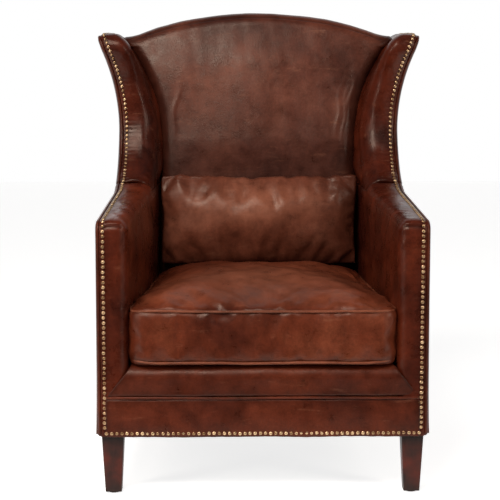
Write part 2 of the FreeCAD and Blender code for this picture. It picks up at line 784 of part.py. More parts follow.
def back_webbing():
    over = "(dim.outsidePanel + dim.backBoard + dim.webThickness)"
    top = "(dim.shoulderHeight - dim.topWrap)"
    start = f"({BACK_TACK_FOOT} + dim.webMargin)"
    strips = []
    for step in UPRIGHT_STRIPS:
        corner = (f"{step} * dim.uprightWebPitch - dim.webWidth / 2", "0", start)
        strips.append(box(f"upright_strip_{step + 3}", corner, ("dim.webWidth", REAR, f"{top} - {start}")))
    face = raked("upright_strip_layer", BACK_TACK_FOOT, top, FRAME_FACE, over)
    piece(common("back_webbing_upright", face, group("upright_strips", strips)), "back_webbing_upright")
    strips = []
    half = outer_side(REAR, f"{BOARD_IN} + dim.webMargin")
    for step in LEVEL_STRIPS:
        foot = f"({BACK_TACK_FOOT} + dim.levelWebStart + {step} * dim.levelWebPitch)"
        size = (f"2 * {half}", REAR, "dim.webWidth")
        strips.append(box(f"level_strip_{step + 1}", (f"-{half}", "0", foot), size))
    face = raked("level_strip_layer", BACK_TACK_FOOT, top, over, PAD_BACK)
    piece(common("back_webbing_level", face, group("level_strips", strips)), "back_webbing_level")


seat_webbing()
back_webbing()

# Padding and covers on the frame.
interior = span_layer("interior_layer", inner_side)
WELT_Z = f"({PAD_BASE} - dim.weltWidth / 2)"
PANEL_TOP = f"({PAD_BASE} - dim.weltWidth)"
MITRE_SLOPE = f"((dim.lipTop - {PAD_BASE}) / (dim.railPanelSide - dim.mitreIn))"
MITRE_Z = f"(dim.lipTop - (dim.innerFront / 2 - dim.mitreIn) * {MITRE_SLOPE})"


def front_covers():
    """Lip, welt and rail panel across the front, and the panel on the front of each arm."""
    trapezoid = [
        ("-dim.railPanelSide", PAD_BASE),
        ("dim.railPanelSide", PAD_BASE),
        ("dim.mitreIn", "dim.lipTop"),
        ("-dim.mitreIn", "dim.lipTop"),
    ]
    face = slab("lip_face", "XZ", trapezoid, FRONT, "dim.frontPad")
    side = full_slab("lip_side", [
        (FRONT, PAD_BASE),
        (LIP_BACK, PAD_BASE),
        (LIP_BACK, "dim.lipTop"),
        (f"{FRONT} + dim.lipRound", "dim.lipTop", "dim.lipRound", 1),
        (FRONT, "dim.lipTop - dim.lipRound"),
    ])
    piece(common("front_lip_band", fuse("lip_blank", face, interior), side), "front_lip_band")
    panel = [
        ("-dim.railPanelSide", "dim.legHeight"),
        ("dim.railPanelSide", "dim.legHeight"),
        ("dim.railPanelSide", PANEL_TOP),
        ("-dim.railPanelSide", PANEL_TOP),
    ]
    blank = padded_body("rail_panel_blank", "XZ", panel, FRONT, "dim.frontPad")
    piece(rounded("front_rail_panel", blank, "dim.edgeRound", on_front), "front_rail_panel")
    centre = f"{FRONT} + dim.weltWidth / 2 - dim.weltProud"
    span = "2 * dim.railPanelSide"
    welt = cylinder("front_welt", "-dim.railPanelSide", centre, WELT_Z, "dim.weltWidth", span)
    welt.Placement.Rotation = FreeCAD.Rotation(Y_AXIS, 90)
    piece(welt, "front_welt")
    outer = outer_side(PADDED_FRONT, BOARD_OUT)
    top = arm_top(FRONT)
    arm = [
        ("dim.railPanelSide", "dim.legHeight"),
        (outer, "dim.legHeight"),
        (outer, f"{top} - dim.outerRound", "dim.outerRound", 1),
        (f"{outer} - dim.outerRound", top),
        ("dim.innerFront / 2 + dim.armRound", top, "dim.armRound", 1),
        ("dim.innerFront / 2", f"{top} - dim.armRound"),
        ("dim.innerFront / 2", MITRE_Z),
        ("dim.railPanelSide", PAD_BASE),
    ]
    blank = padded_body("arm_front_blank", "XZ", arm, FRONT, "dim.frontPad")
    pair(rounded("arm_front", blank, "dim.edgeRound", on_front), "arm_front")


def on_front(points):
    """True for an edge that lies in the plane of the padded front faces."""
    front = value(FRONT)
    return all(abs(point.y - front) < 0.01 for point in points)


def flare_at(height):
    """How far the flare has carried a surface outward at a height."""
    rise = max(height - value("dim.flareStart"), 0)
    radius = value("dim.flareRadius")
    return radius - sqrt(radius * radius - rise * rise)


def side_pads():
    """Inside arm and inside wing, hollowed for the boards that they wrap."""
    layer = side_layer("pad_layer", inner_side, beneath_panel)
    arm_boards = side_slab("arm_boards", arm_outline("dim.legHeight", WRAP, FRONT, FRAME_FACE))
    wing_boards = side_slab("wing_boards", wing_outline(WRAP, FRAME_FACE))
    boards = common("side_boards", board, fuse("side_board_view", arm_boards, wing_boards))
    arm_view = side_slab("arm_pad_view", arm_outline(PAD_BASE, "0", PADDED_FRONT, PAD_BACK))
    wing_view = side_slab("wing_pad_view", wing_outline("0", PAD_BACK))
    arm = cut("arm_pad_blank", common("arm_pad_whole", layer, arm_view), boards)
    wing = cut("wing_pad_blank", common("wing_pad_whole", layer, wing_view), boards)
    seam_z = value(SEAM_Z)

    def level_with_seam(points):
        return all(abs(point.z - seam_z) < 0.01 for point in points)

    def on_surface(points, surface):
        return all(abs(point.x - value(surface(point.y)) - flare_at(point.z)) < 0.3 for point in points)

    def rolled(points, surface, floor):
        """True for an edge of a surface that is above the floor and not at a seam, end or back."""
        behind = all(abs(point.y - value(rear_plane(point.z, PAD_BACK))) < 0.5 for point in points)
        ends = all(abs(point.y - value(PADDED_FRONT)) < 0.01 for point in points)
        low = any(point.z < floor for point in points)
        return on_surface(points, surface) and not (behind or ends or low or level_with_seam(points))

    def roll_pad(label, blank, inner_radius, floor):
        item = blank
        rolls = (("_inner_roll", inner_radius, inner_side), ("", "dim.outerRound", beneath_panel))
        for ending, radius, surface in rolls:
            item = rounded(label + ending, item, radius, lambda points: rolled(points, surface, floor))
        pair(item, label)

    roll_pad("inside_arm", arm, "dim.armRound", value(arm_top(PADDED_FRONT)) - 1)
    roll_pad("inside_wing", wing, "dim.wingRound", seam_z - 1)


def seat_deck():
    side = full_slab("deck_side", [
        (LIP_BACK, PAD_BASE),
        (rear_plane(PAD_BASE, PAD_BACK), PAD_BASE),
        (rear_plane("dim.lipTop", PAD_BACK), "dim.lipTop"),
        (LIP_BACK, "dim.lipTop"),
    ])
    piece(common("seat_deck", interior, side), "seat_deck")


BACK_TOP_Y = f"({BACK_FACE} + ({TOP} - dim.backBend) * tan(dim.backLean))"


def inside_back():
    """The padded back between the wings, with the cover that runs on over its top rail."""
    bend = "(dim.backCurve * tan(dim.backLean / 2))"
    bend_y = f"{BACK_FACE} + {bend} * sin(dim.backLean)"
    bend_z = f"dim.backBend + {bend} * cos(dim.backLean)"
    side = full_slab("back_pad_side", [
        (BACK_FACE, "dim.lipTop"),
        (rear_plane("dim.lipTop", PAD_BACK), "dim.lipTop"),
        (rear_plane(TOP, PAD_BACK), TOP),
        (BACK_TOP_Y, TOP),
        (bend_y, bend_z, "dim.backCurve", 1),
        (BACK_FACE, f"dim.backBend - {bend}"),
    ])
    below = under_camel("pad_camel", "0")
    pad = common("back_pad", interior, side, below)
    cap_foot = "(dim.shoulderHeight - dim.capDepth)"
    over = raked("back_cap_blank", cap_foot, TOP, BEHIND_FRAME, PAD_BACK)
    whole_cap = common("back_cap_whole", span_layer("cap_layer", beneath_panel), over, below)
    cap = cut("back_cap", whole_cap, under_camel("cap_foot", "dim.topWrap"))
    joined = fuse("back_pad_joined", pad, cap)
    face_y = value(BACK_TOP_Y)
    slope = (face_y - value(BACK_FACE)) / (value(TOP) - value("dim.backBend"))

    def top_front(points):
        high = all(point.z > value("dim.shoulderHeight") - 1 for point in points)
        rise = value(TOP)
        return high and all(abs(point.y - face_y + (rise - point.z) * slope) < 0.5 for point in points)

    piece(rounded("inside_back", joined, "dim.backRoll", top_front), "inside_back")


def outside_covers():
    layer = side_layer("panel_layer", beneath_panel, outer_side)
    arm = side_slab("outside_arm_view", arm_outline("dim.legHeight", "0", FRONT, BEHIND_FRAME))
    pair(common("outside_arm", layer, arm), "outside_arm")
    wing = side_slab("outside_wing_view", wing_outline("0", BEHIND_FRAME))
    pair(common("outside_wing", layer, wing), "outside_wing")
    back = raked("outside_back_blank", "dim.legHeight", TOP, "0", BEHIND_FRAME)
    whole = span_layer("body_layer", outer_side)
    piece(common("outside_back", whole, back, under_camel("outside_camel", "0")), "outside_back")


front_covers()
side_pads()
seat_deck()
inside_back()
outside_covers()

# Seat cushion: boxed sides that swell between the welts, a crowned top, drawn-in sides, foam core.
SEAT_FRONT = "(-dim.depth / 2)"
SEAT_BACK = f"({BACK_FACE} - dim.cushionGap)"
SEAT_BASE = "(dim.lipTop + dim.cushionGap)"
CROWN_STEPS = ((0.55, 0.15), (0.87, 0.36), (1, 0.6))


def seat_plan(name, height, inset):
    """A section of the seat cushion at a height, further in than its widest outline by inset."""
    front = f"({SEAT_FRONT} + {inset})"
    back = f"({SEAT_BACK} - {inset})"
    corner = "dim.seatCorner"

    def side(y):
        return inner_side(y, f"dim.cushionGap + {inset}")

    def draw_radius(half):
        return f"(({half}^2 + dim.seatDraw^2) / (2 * dim.seatDraw))"

    front_x = f"({side(front)} - {corner})"
    back_x = f"({side(back)} - {corner})"
    front_y = f"({front} + {corner})"
    back_y = f"({back} - {corner})"
    across_front = draw_radius(front_x)
    across_back = draw_radius(back_x)
    along = draw_radius(f"(({back_y} - {front_y}) / 2)")
    return sketch_on(name, "XY", [
        (f"-{front_x}", front, across_front, -1),
        (front_x, front, corner, 1),
        (side(front_y), front_y, along, -1),
        (side(back_y), back_y, corner, 1),
        (back_x, back, across_back, -1),
        (f"-{back_x}", back, corner, 1),
        (f"-{side(back_y)}", back_y, along, -1),
        (f"-{side(front_y)}", front_y, corner, 1),
    ], height)


def seat_cushion():
    middle = "((dim.seatBottom + dim.seatEdge) / 2)"
    bottom = seat_plan("seat_bottom_plan", "dim.seatBottom", "dim.seatBulge")
    edge = seat_plan("seat_edge_plan", "dim.seatEdge", "dim.seatBulge")
    boxing = loft("seat_boxing", [bottom, seat_plan("seat_middle_plan", middle, "0"), edge], ruled=False)
    under = seat_plan("seat_base_plan", SEAT_BASE, "dim.seatUnder")
    base = loft("seat_base", [under, bottom])
    steps = [edge]
    for number, (rise, share) in enumerate(CROWN_STEPS, start=1):
        height = f"dim.seatEdge + {rise} * dim.seatCrown"
        steps.append(seat_plan(f"seat_crown_plan_{number}", height, f"({share} * dim.innerFront / 2)"))
    crown = loft("seat_crown", steps, ruled=False)
    whole = fuse("seat_cushion_whole", base, boxing, crown)
    core_front = f"({SEAT_FRONT} + dim.coreInset)"
    core_back = f"({SEAT_BACK} - dim.coreInset)"
    plan = [
        (inner_side(core_front, "dim.coreInset"), core_front),
        (inner_side(core_back, "dim.coreInset"), core_back),
    ]
    foot = f"({SEAT_BASE} + dim.coreFoot)"
    core = padded_body("seat_cushion_core", "XY", mirrored_outline(plan), foot, f"dim.seatEdge - {foot}")
    piece(core, "seat_cushion_core")
    piece(cut("seat_cushion_cover", whole, core), "seat_cushion_cover")


seat_cushion()

# Lumbar cushion: a knife-edge pillow made of two halves that meet at its seam. Its sides and top are
# drawn in between its corners, and its bottom edge lies straight on the seat.
PILLOW_STEPS = ((0, 0, 1), (0.46, 0.115, 0.7), (0.81, 0.39, 0.4), (1, 0.75, 0.2))


def pillow_section(name, inset, draw_in, out):
    """A section of the pillow in its own upright plane, at a distance out from its seam."""
    across = f"(dim.pillowWidth / 2 - {inset})"
    up = f"(dim.pillowHeight / 2 - {inset})"

    def draw_radius(half):
        return f"(({half}^2 + {draw_in}^2) / (2 * {draw_in}))"

    return sketch_on(name, "XZ", [
        (f"-{across}", f"-{up}"),
        (across, f"-{up}", draw_radius(up), -1),
        (across, up, draw_radius(across), -1),
        (f"-{across}", up, draw_radius(up), -1),
    ], out)


def lumbar_cushion():
    halves = []
    for name, side in (("front", -1), ("back", 1)):
        sections = []
        for number, (out, share, draw_share) in enumerate(PILLOW_STEPS, start=1):
            inset = f"({share} * dim.pillowHeight / 2)"
            distance = f"{side} * {out} * dim.pillowThick / 2"
            draw_in = f"({draw_share} * dim.pillowDraw)"
            sections.append(pillow_section(f"pillow_{name}_section_{number}", inset, draw_in, distance))
        halves.append(loft(f"pillow_{name}", sections, ruled=False))
    whole = fuse("pillow_whole", *halves)
    core_size = ("dim.pillowWidth - 2 * dim.pillowHem", "dim.pillowThick - 2 * dim.coreInset",
                 "dim.pillowHeight - 2 * dim.pillowHem")
    core = box("pillow_core", [f"-({length}) / 2" for length in core_size], core_size)
    cover = cut("pillow_cover", whole, core)
    flat = 1 - PILLOW_STEPS[-1][1]
    for item, label in ((cover, "lumbar_cushion_cover"), (core, "lumbar_cushion_core")):
        placed = doc.addObject("Part::Compound", label)
        placed.Links = [item]
        placed.Placement.Rotation = FreeCAD.Rotation(X_AXIS, -value("dim.pillowLean"))
        thick = "dim.pillowThick / 2 * cos(dim.pillowLean)"
        reach = f"({thick} + {flat} * dim.pillowHeight / 2 * sin(dim.pillowLean))"
        placed.setExpression("Placement.Base.y", f"{BACK_FACE} - dim.cushionGap - {reach}")
        stand = "dim.seatEdge + dim.pillowLift * dim.seatCrown + dim.cushionGap"
        half = "dim.pillowHeight / 2 * cos(dim.pillowLean)"
        placed.setExpression("Placement.Base.z", f"{stand} + {half}")
        piece(placed, label)


lumbar_cushion()


# Check every object, then write each sub-part.
def write_parts():
    doc.recompute()
    for item in doc.Objects:
        if "Invalid" in item.State or "Error" in item.State:
            raise RuntimeError(f"{item.Name} failed: {item.State}")
    for item in pieces:
        if item.Shape.isNull() or not item.Shape.isValid() or item.Shape.Volume <= 0:
            raise RuntimeError(f"{item.Label} has no sound shape")
    for item in pieces:
        item.Shape.exportStep(f"parts/{item.Label}.step")
    print(len(pieces), "sub-parts written")


write_parts()
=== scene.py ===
# %% [markdown]
# A wingback armchair in waxed leather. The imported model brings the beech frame, the webbing, the legs
# and the loose cushions as plain solids, in metres, with the floor at height 0 and the front towards -Y.
# This script gives every piece the form and the finish that the eye sees. Leather on a chair isn't a
# solid: it is pulled round padding, tucked into seams and nailed, so each leather piece is made as a
# surface with its own seams, folds and rolled edges, and takes the place of the plain solid.

# %% Load the chair
import math

import bmesh
import bpy
import numpy as np
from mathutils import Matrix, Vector


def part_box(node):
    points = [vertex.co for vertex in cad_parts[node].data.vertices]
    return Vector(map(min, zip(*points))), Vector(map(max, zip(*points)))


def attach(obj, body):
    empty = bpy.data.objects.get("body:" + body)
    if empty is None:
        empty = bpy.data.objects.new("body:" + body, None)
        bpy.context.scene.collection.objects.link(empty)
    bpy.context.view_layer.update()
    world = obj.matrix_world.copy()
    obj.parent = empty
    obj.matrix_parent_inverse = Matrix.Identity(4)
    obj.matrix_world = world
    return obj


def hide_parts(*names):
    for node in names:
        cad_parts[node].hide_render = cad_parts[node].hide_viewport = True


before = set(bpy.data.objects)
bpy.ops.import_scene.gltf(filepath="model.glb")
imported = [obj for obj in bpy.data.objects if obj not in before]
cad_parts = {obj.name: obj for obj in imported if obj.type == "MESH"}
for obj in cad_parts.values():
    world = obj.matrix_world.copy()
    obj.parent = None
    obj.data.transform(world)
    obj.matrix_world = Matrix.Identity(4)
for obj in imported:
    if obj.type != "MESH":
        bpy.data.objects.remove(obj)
scene = bpy.context.scene
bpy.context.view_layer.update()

# %% [markdown]
# The camera stands 3.6 m in front of the arms, a little to the left of the middle and 1.05 m up, and
# looks 7.5 degrees down. That is what makes the legs so short in the picture and shows the top of the
# seat. A long lens keeps the two sides of the chair parallel.

# %% Camera
camera = bpy.data.objects.new("camera", bpy.data.cameras.new("camera"))
scene.collection.objects.link(camera)
FOCAL_PIXELS, PICTURE = 1584, 500
camera.data.sensor_width = 36
camera.data.lens = FOCAL_PIXELS / PICTURE * 36
yaw, tilt = math.radians(0.75), math.radians(7.471)
look = Vector((math.sin(yaw) * math.cos(tilt), math.cos(yaw) * math.cos(tilt), -math.sin(tilt)))
camera.location = (-0.0773, -4.005, 1.05)
camera.rotation_euler = look.to_track_quat("-Z", "Y").to_euler()
scene.camera = camera
print("lens", round(camera.data.lens, 1), "mm")

# %% [markdown]
# Every side of the chair is built between two upright surfaces, an outer one and an inner one. Both
# close in towards the back, and above the arms both lean outward in an arc. So a point of a side needs
# only its depth y and its height z, and the surface gives its x.

# %% The surfaces of the sides
FRONT, BASE = -0.405, 0.139
SHOULDER, CROWN = 1.066, 1.1265
ARM_SLOPE = math.radians(4)


def flare(z):
    """How far a side leans outward: an arc of radius 0.64 m that starts upright at 0.81 m."""
    rise = np.maximum(z - 0.81, 0)
    return 0.64 - np.sqrt(0.64**2 - rise**2)


def outer_side(y, z):
    """The outside narrows in a straight line from 385 mm at the front, plus the flare."""
    return 0.385 - 0.032927 * (y - FRONT) + flare(z)


def inner_side(y, z):
    """The inside narrows faster, from 313 mm, plus the same flare."""
    return 0.313 - 0.076829 * (y - FRONT) + flare(z)


def wing_face(y, z):
    """The pad of the wing gets thinner towards its top, by 14 mm in front and 55 mm at the back."""
    rise = np.clip((z - 0.72) / 0.346, 0, 1) ** 2.2
    back = np.clip((y - 0.08) / 0.20, 0, 1)
    return inner_side(y, z) + 0.055 * rise * (0.25 + 0.75 * back * back * (3 - 2 * back))


def rear_plane(z):
    """The outside back leans 5 degrees and ends at 415 mm at its top."""
    return 0.415 - (CROWN - z) * math.tan(math.radians(5))


print("flare at the wing tops", round(float(flare(SHOULDER)) * 1000, 1), "mm")

# %% [markdown]
# Leather has no sharp sides, so all pieces are dense grids of quads. One helper turns an array of
# points, rows by columns, into a mesh in one go. Shading is smooth, and a Solidify modifier gives an
# open surface its thickness behind it, which closes it.

# %% Grids of points to meshes
LEATHER = 0.0025


def grid_faces(rows, columns, ring=False, flip=False):
    """Four corners of each cell of a grid. A ring joins the last column to the first."""
    cells = columns if ring else columns - 1
    row, column = np.meshgrid(np.arange(rows - 1) * columns, np.arange(cells), indexing="ij")
    after = (column + 1) % columns
    corners = [row + column, row + columns + column, row + columns + after, row + after]
    faces = np.stack(corners, axis=-1).reshape(-1, 4)
    return faces[:, ::-1] if flip else faces


def new_mesh(name, points, faces):
    """A smooth mesh object from points and faces of one size, written with foreach_set."""
    mesh = bpy.data.meshes.new(name)
    size = faces.shape[1]
    mesh.vertices.add(len(points))
    mesh.vertices.foreach_set("co", np.ascontiguousarray(points, dtype=np.float32).ravel())
    mesh.loops.add(faces.size)
    mesh.loops.foreach_set("vertex_index", faces.astype(np.int32).ravel())
    mesh.polygons.add(len(faces))
    mesh.polygons.foreach_set("loop_start", np.arange(len(faces), dtype=np.int32) * size)
    mesh.polygons.foreach_set("use_smooth", np.ones(len(faces), dtype=bool))
    mesh.update(calc_edges=True)
    mesh.validate()
    item = bpy.data.objects.new(name, mesh)
    scene.collection.objects.link(item)
    return item


def unit(arrows):
    """Arrows of length 1 that point the same way."""
    return arrows / np.maximum(np.linalg.norm(arrows, axis=-1, keepdims=True), 1e-9)


def grid_normals(grid):
    """Unit normals of a grid: the cross product of its two directions at each point."""
    return unit(np.cross(np.gradient(grid, axis=0), np.gradient(grid, axis=1)))


def thicken(item, depth=LEATHER):
    """Give an open surface a back, depth metres behind it."""
    wall = item.modifiers.new("thickness", "SOLIDIFY")
    wall.thickness = depth
    wall.offset = -1
    wall.use_even_offset = False
    return item


def attribute(item, name, values):
    """Give every point of a mesh a number that its material can read."""
    layer = item.data.attributes.new(name, "FLOAT", "POINT")
    layer.data.foreach_set("value", np.ascontiguousarray(values, dtype=np.float32).ravel())


def leather_sheet(name, grid, side=1, painted_shade=None, flip=False, depth=LEATHER):
    """A grid as an open leather surface, with a point attribute of painted shade when one is given. side -1
    mirrors it to the left and turns its faces over.
    """
    points = grid.reshape(-1, 3) * (side, 1, 1)
    item = new_mesh(name, points, grid_faces(*grid.shape[:2], flip=flip != (side < 0)))
    if painted_shade is not None:
        attribute(item, "painted_shade", painted_shade)
    return thicken(item, depth)


print("grids: a sheet of 3 by 4 points has", len(grid_faces(3, 4)), "faces")

# %% [markdown]
# Hide is never even. Its waves are made from a few seeded cosines in random directions, which is cheap
# on whole arrays and repeats from run to run. A bump falls off like a bell curve, and a tuck is the
# quarter circle in which leather dives into a seam.

# %% Waves, bumps and tucks
def waves(points, length, seed, count=9):
    """Sum of cosines of about one wave length in random directions, between about -1 and 1."""
    random = np.random.default_rng(seed)
    total = 0
    for _ in range(count):
        way = random.normal(size=points.shape[-1])
        way *= 2 * math.pi / (length * random.uniform(0.7, 1.4)) / np.linalg.norm(way)
        total = total + np.cos(points @ way + random.uniform(0, 2 * math.pi))
    return total / math.sqrt(count * 2)


def bump(distance, width):
    """A bell curve of a distance."""
    return np.exp(-((distance / width) ** 2))


def tuck(distance, radius):
    """Depth of a quarter circle that starts at a seam, where the distance is 0."""
    near = np.clip(1 - distance / radius, 0, 1)
    return radius * (1 - np.sqrt(1 - near**2))


def smooth_step(value, low, high):
    share = np.clip((value - low) / (high - low), 0, 1)
    return share * share * (3 - 2 * share)


print("a tuck of 8 mm is", round(float(tuck(0.0, 0.008)) * 1000), "mm deep at its seam")

# %% [markdown]
# Seen from the side, arm and wing have one outline: up the front of the arm, round its corner, back
# along the sloping arm, up the hollow of the wing, round its tip and level to the back. It is a chain
# of lines and arcs that touch without a corner. The normal on the left of the way points out of the
# chair, and all four leather pieces of a side are wrapped over this one edge.

# %% The edge of a side
STEP = 0.0035


def line(start, end):
    """Points of a straight run with their outward normals, without the last one."""
    start, end = np.array(start), np.array(end)
    length = np.linalg.norm(end - start)
    share = np.arange(max(2, round(length / STEP))) / max(2, round(length / STEP))
    way = (end - start) / length
    return start + share[:, None] * (end - start), np.tile([-way[1], way[0]], (len(share), 1))


def arc(centre, radius, start, end):
    """The same for an arc between two angles in degrees. A left-hand bend is hollow: its normals look
    at the centre."""
    count = max(3, round(abs(math.radians(end - start)) * radius / STEP))
    angle = np.radians(start + (end - start) * np.arange(count) / count)
    ray = np.stack([np.cos(angle), np.sin(angle)], axis=1)
    return np.array(centre) + radius * ray, ray if end < start else -ray


def chain(*runs):
    """Join runs and measure the way along them."""
    points = np.concatenate([run[0] for run in runs])
    normals = np.concatenate([run[1] for run in runs])
    way = np.concatenate([[0], np.cumsum(np.linalg.norm(np.diff(points, axis=0), axis=1))])
    return points, normals, way


ARM_CORNER, ARM_TOP = 0.024, 0.643
corner_centre = (
    FRONT + ARM_CORNER, ARM_TOP + ARM_CORNER * math.tan(ARM_SLOPE) - ARM_CORNER / math.cos(ARM_SLOPE)
)
arm_start = (
    corner_centre[0] - ARM_CORNER * math.sin(ARM_SLOPE), corner_centre[1] + ARM_CORNER * math.cos(ARM_SLOPE)
)
LOWER, UPPER, TIP = (-0.020, 0.87041), (-0.080, 0.87041), (0.1542, 1.038)
HOLLOW, WING_ARC, TIP_ROUND = 0.2, 0.26, 0.028
SEAM_ANGLE, JOIN_ANGLE = -64, 35.6
SEAM_Z = LOWER[1] + HOLLOW * math.sin(math.radians(SEAM_ANGLE))
arm_end = (LOWER[0] + HOLLOW * math.sin(ARM_SLOPE), LOWER[1] - HOLLOW * math.cos(ARM_SLOPE))


def arm_edge(foot):
    """Up the front, round the corner, back along the slope and into the hollow up to the seam."""
    return chain(
        line((FRONT, foot), (FRONT, corner_centre[1])),
        arc(corner_centre, ARM_CORNER, 180, 94),
        line(arm_start, arm_end),
        arc(LOWER, HOLLOW, -86, SEAM_ANGLE + 0.8),
    )


def past_corner(edge):
    """The way along an arm's edge to the end of its front corner."""
    return edge[2][np.argmax(edge[0][:, 1] > corner_centre[1] + 0.017)]


wing_edge = chain(
    arc(LOWER, HOLLOW, SEAM_ANGLE, 0),
    arc(UPPER, WING_ARC, 0, JOIN_ANGLE),
    arc(TIP, TIP_ROUND, 180 + JOIN_ANGLE, 90),
    line((TIP[0], SHOULDER), (float(rear_plane(SHOULDER)) + 0.004, SHOULDER)),
)
print("arm edge", round(arm_edge(BASE)[2][-1], 3), "m, wing edge", round(wing_edge[2][-1], 3), "m")

# %% [markdown]
# On the real chair one hide covers the inside of an arm, runs over the padded edge and ends on the
# front, where nails hold it. The hide of the outside comes round the corner from the other side with a
# folded hem. Both are the same kind of surface: a profile carried along the edge, which starts sideways
# of it, turns onto the face of the side in a quarter circle and then runs straight to a far line.

# %% Wrap leather over the edge
def far_line(way, corner, first, middle, last):
    """Two straight runs that keep step with the edge and turn where the edge has its corner."""
    stops = [0, corner, way[-1]]
    return np.stack([np.interp(way, stops, values) for values in zip(first, middle, last)], axis=1)


def wrapped(edge, target, face, sign, width, radius, crown=0.0, lift=0.0, counts=(22, 12, 34)):
    """Rows of points, one row for each point of the edge. face gives x, sign says to which side of it
    the row starts, width metres away. The crown is a half wave over the flat part. Also returned: how
    far each point stands off its face, and its share of the way to the far line."""
    points, normals, way = edge
    width = np.broadcast_to(width, len(way))[:, None]
    radius = np.broadcast_to(radius, len(way))[:, None]
    flat = np.linspace(0, 1, counts[0])[None, :]
    turn = np.linspace(0, math.pi / 2, counts[1])[None, 1:]
    sideways = np.hstack([width + (radius - width) * flat, radius - radius * np.sin(turn)])
    across = np.clip(1 - sideways / width, 0, 1)
    hump = crown * np.sin(math.pi * across) ** 0.8
    inset = np.hstack([0 * flat * width, radius * (1 - np.cos(turn))])
    fade = np.hstack([np.ones_like(flat) + 0 * width, np.cos(turn) + 0 * width])
    inset = inset - (hump + lift) * fade
    near = points[:, None] - normals[:, None] * inset[..., None]
    share = (np.arange(1, counts[2] + 1) / counts[2])[None, :, None]
    start = (points - normals * radius)[:, None]
    far = start + (target[:, None] - start) * share
    flank = np.concatenate([near, far], axis=1)
    sideways = np.hstack([sideways, np.zeros((len(way), counts[2]))])
    on_face = np.hstack([0 * near[..., 0], np.tile(share[..., 0], (len(way), 1))])
    x = face(flank[..., 0], flank[..., 1]) + sign * sideways
    return np.concatenate([x[..., None], flank], axis=-1), sideways, on_face


def displaced(grid, height, flip=False):
    """Move a grid's points along their outward normals."""
    return grid + grid_normals(grid) * ((-1 if flip else 1) * height)[..., None]


HEM = 0.009
TURN_UNDER = 0.004
left_and_right = (("right", 1), ("left", -1))
print("hem", HEM * 1000, "mm wide")

# %% [markdown]
# The inside wing is a long soft roll. Its front edge is fully rounded and its face swells towards the
# sitter. Near the top the pad gets thin, so that the back can reach out to the tips. At the seam with
# the arm the hide is gathered, which leaves short wrinkles across the roll. The nails pull the hide
# down at every 12 mm, so it puckers a little beside them.

# %% Inside wings
NAIL_PITCH = 0.012
FLAT_STEPS = 21
nail_rows = []


def pucker(way, inward):
    """Folds of 0.6 mm that start at the nails and run out within 16 mm."""
    return 0.0006 * np.cos(2 * math.pi * way / NAIL_PITCH) * np.exp(-np.abs(inward) / 0.016)


def carry_nails(kind, side, grid, start, radius, from_edge):
    """Note the fractional grid column of a nail row that lies from_edge metres inside the outline."""
    column = (from_edge - HEM + TURN_UNDER) / (start - radius) * FLAT_STEPS
    nail_rows.append((kind, side, grid, column))


def inside_wing(label, side, seed):
    points, _, way = wing_edge
    target = far_line(way, 0.415, (0.300, SEAM_Z), (0.385, 1.000), (0.412, 1.015))
    start = outer_side(*points.T) - HEM + TURN_UNDER - wing_face(*points.T)
    radius = 0.036 - 0.013 * smooth_step(way, 0.30, 0.385)
    grid, sideways, on_face = wrapped(wing_edge, target, wing_face, 1, start, radius, crown=0.007)
    s = way[:, None]
    swell = 0.010 * np.sin(math.pi * on_face) * smooth_step(s, 0, 0.09)
    swell = swell * (1 - 0.7 * smooth_step(s, 0.2, 0.4))
    inward = start[:, None] - sideways - TURN_UNDER - 0.010
    bent = bump(s - 0.020 - 0.010 * np.sin(90 * sideways), 0.006)
    wrinkles = 0.0016 * bent * smooth_step(sideways, 0, 0.02)
    bent = bump(s - 0.034 - 0.016 * np.cos(22 * sideways + seed), 0.005)
    wrinkles -= 0.0018 * bent * bump(sideways - 0.04, 0.03)
    wrinkles += 0.0010 * bump(s - 0.060 + 0.2 * sideways, 0.010) * bump(sideways - 0.03, 0.025)
    soft = 0.0016 * waves(grid, 0.10, seed) + 0.0006 * waves(grid * (1, 1, 0.5), 0.028, seed + 1)
    height = swell + wrinkles + soft * smooth_step(inward, 0.0, 0.03) + pucker(s, inward)
    grid = displaced(grid, height - tuck(s, 0.006) - tuck(inward + 0.011, 0.004))
    # Painted shade: darker at the seam with the arm, along the nail line and over the shaded inner face of
    # the wing.
    painted_shade = bump(s, 0.016) + 0.6 * bump(inward, 0.010) + smooth_step(on_face, 0.25, 0.8)
    carry_nails("wing", side, grid, start, radius, 0.020)
    return leather_sheet("inside_wing_leather_" + label, grid, side, np.clip(painted_shade, 0, 1))


wings = {label: inside_wing(label, side, 3 + side) for label, side in left_and_right}
print("an inside wing has", len(wings["right"].data.vertices), "points")

# %% [markdown]
# The arm is lower and squarer. Its hide is cut in one with the front of the arm: at the upper corner
# the spare leather is laid in a single level pleat, 20 mm below the top, that ends in a soft bead.

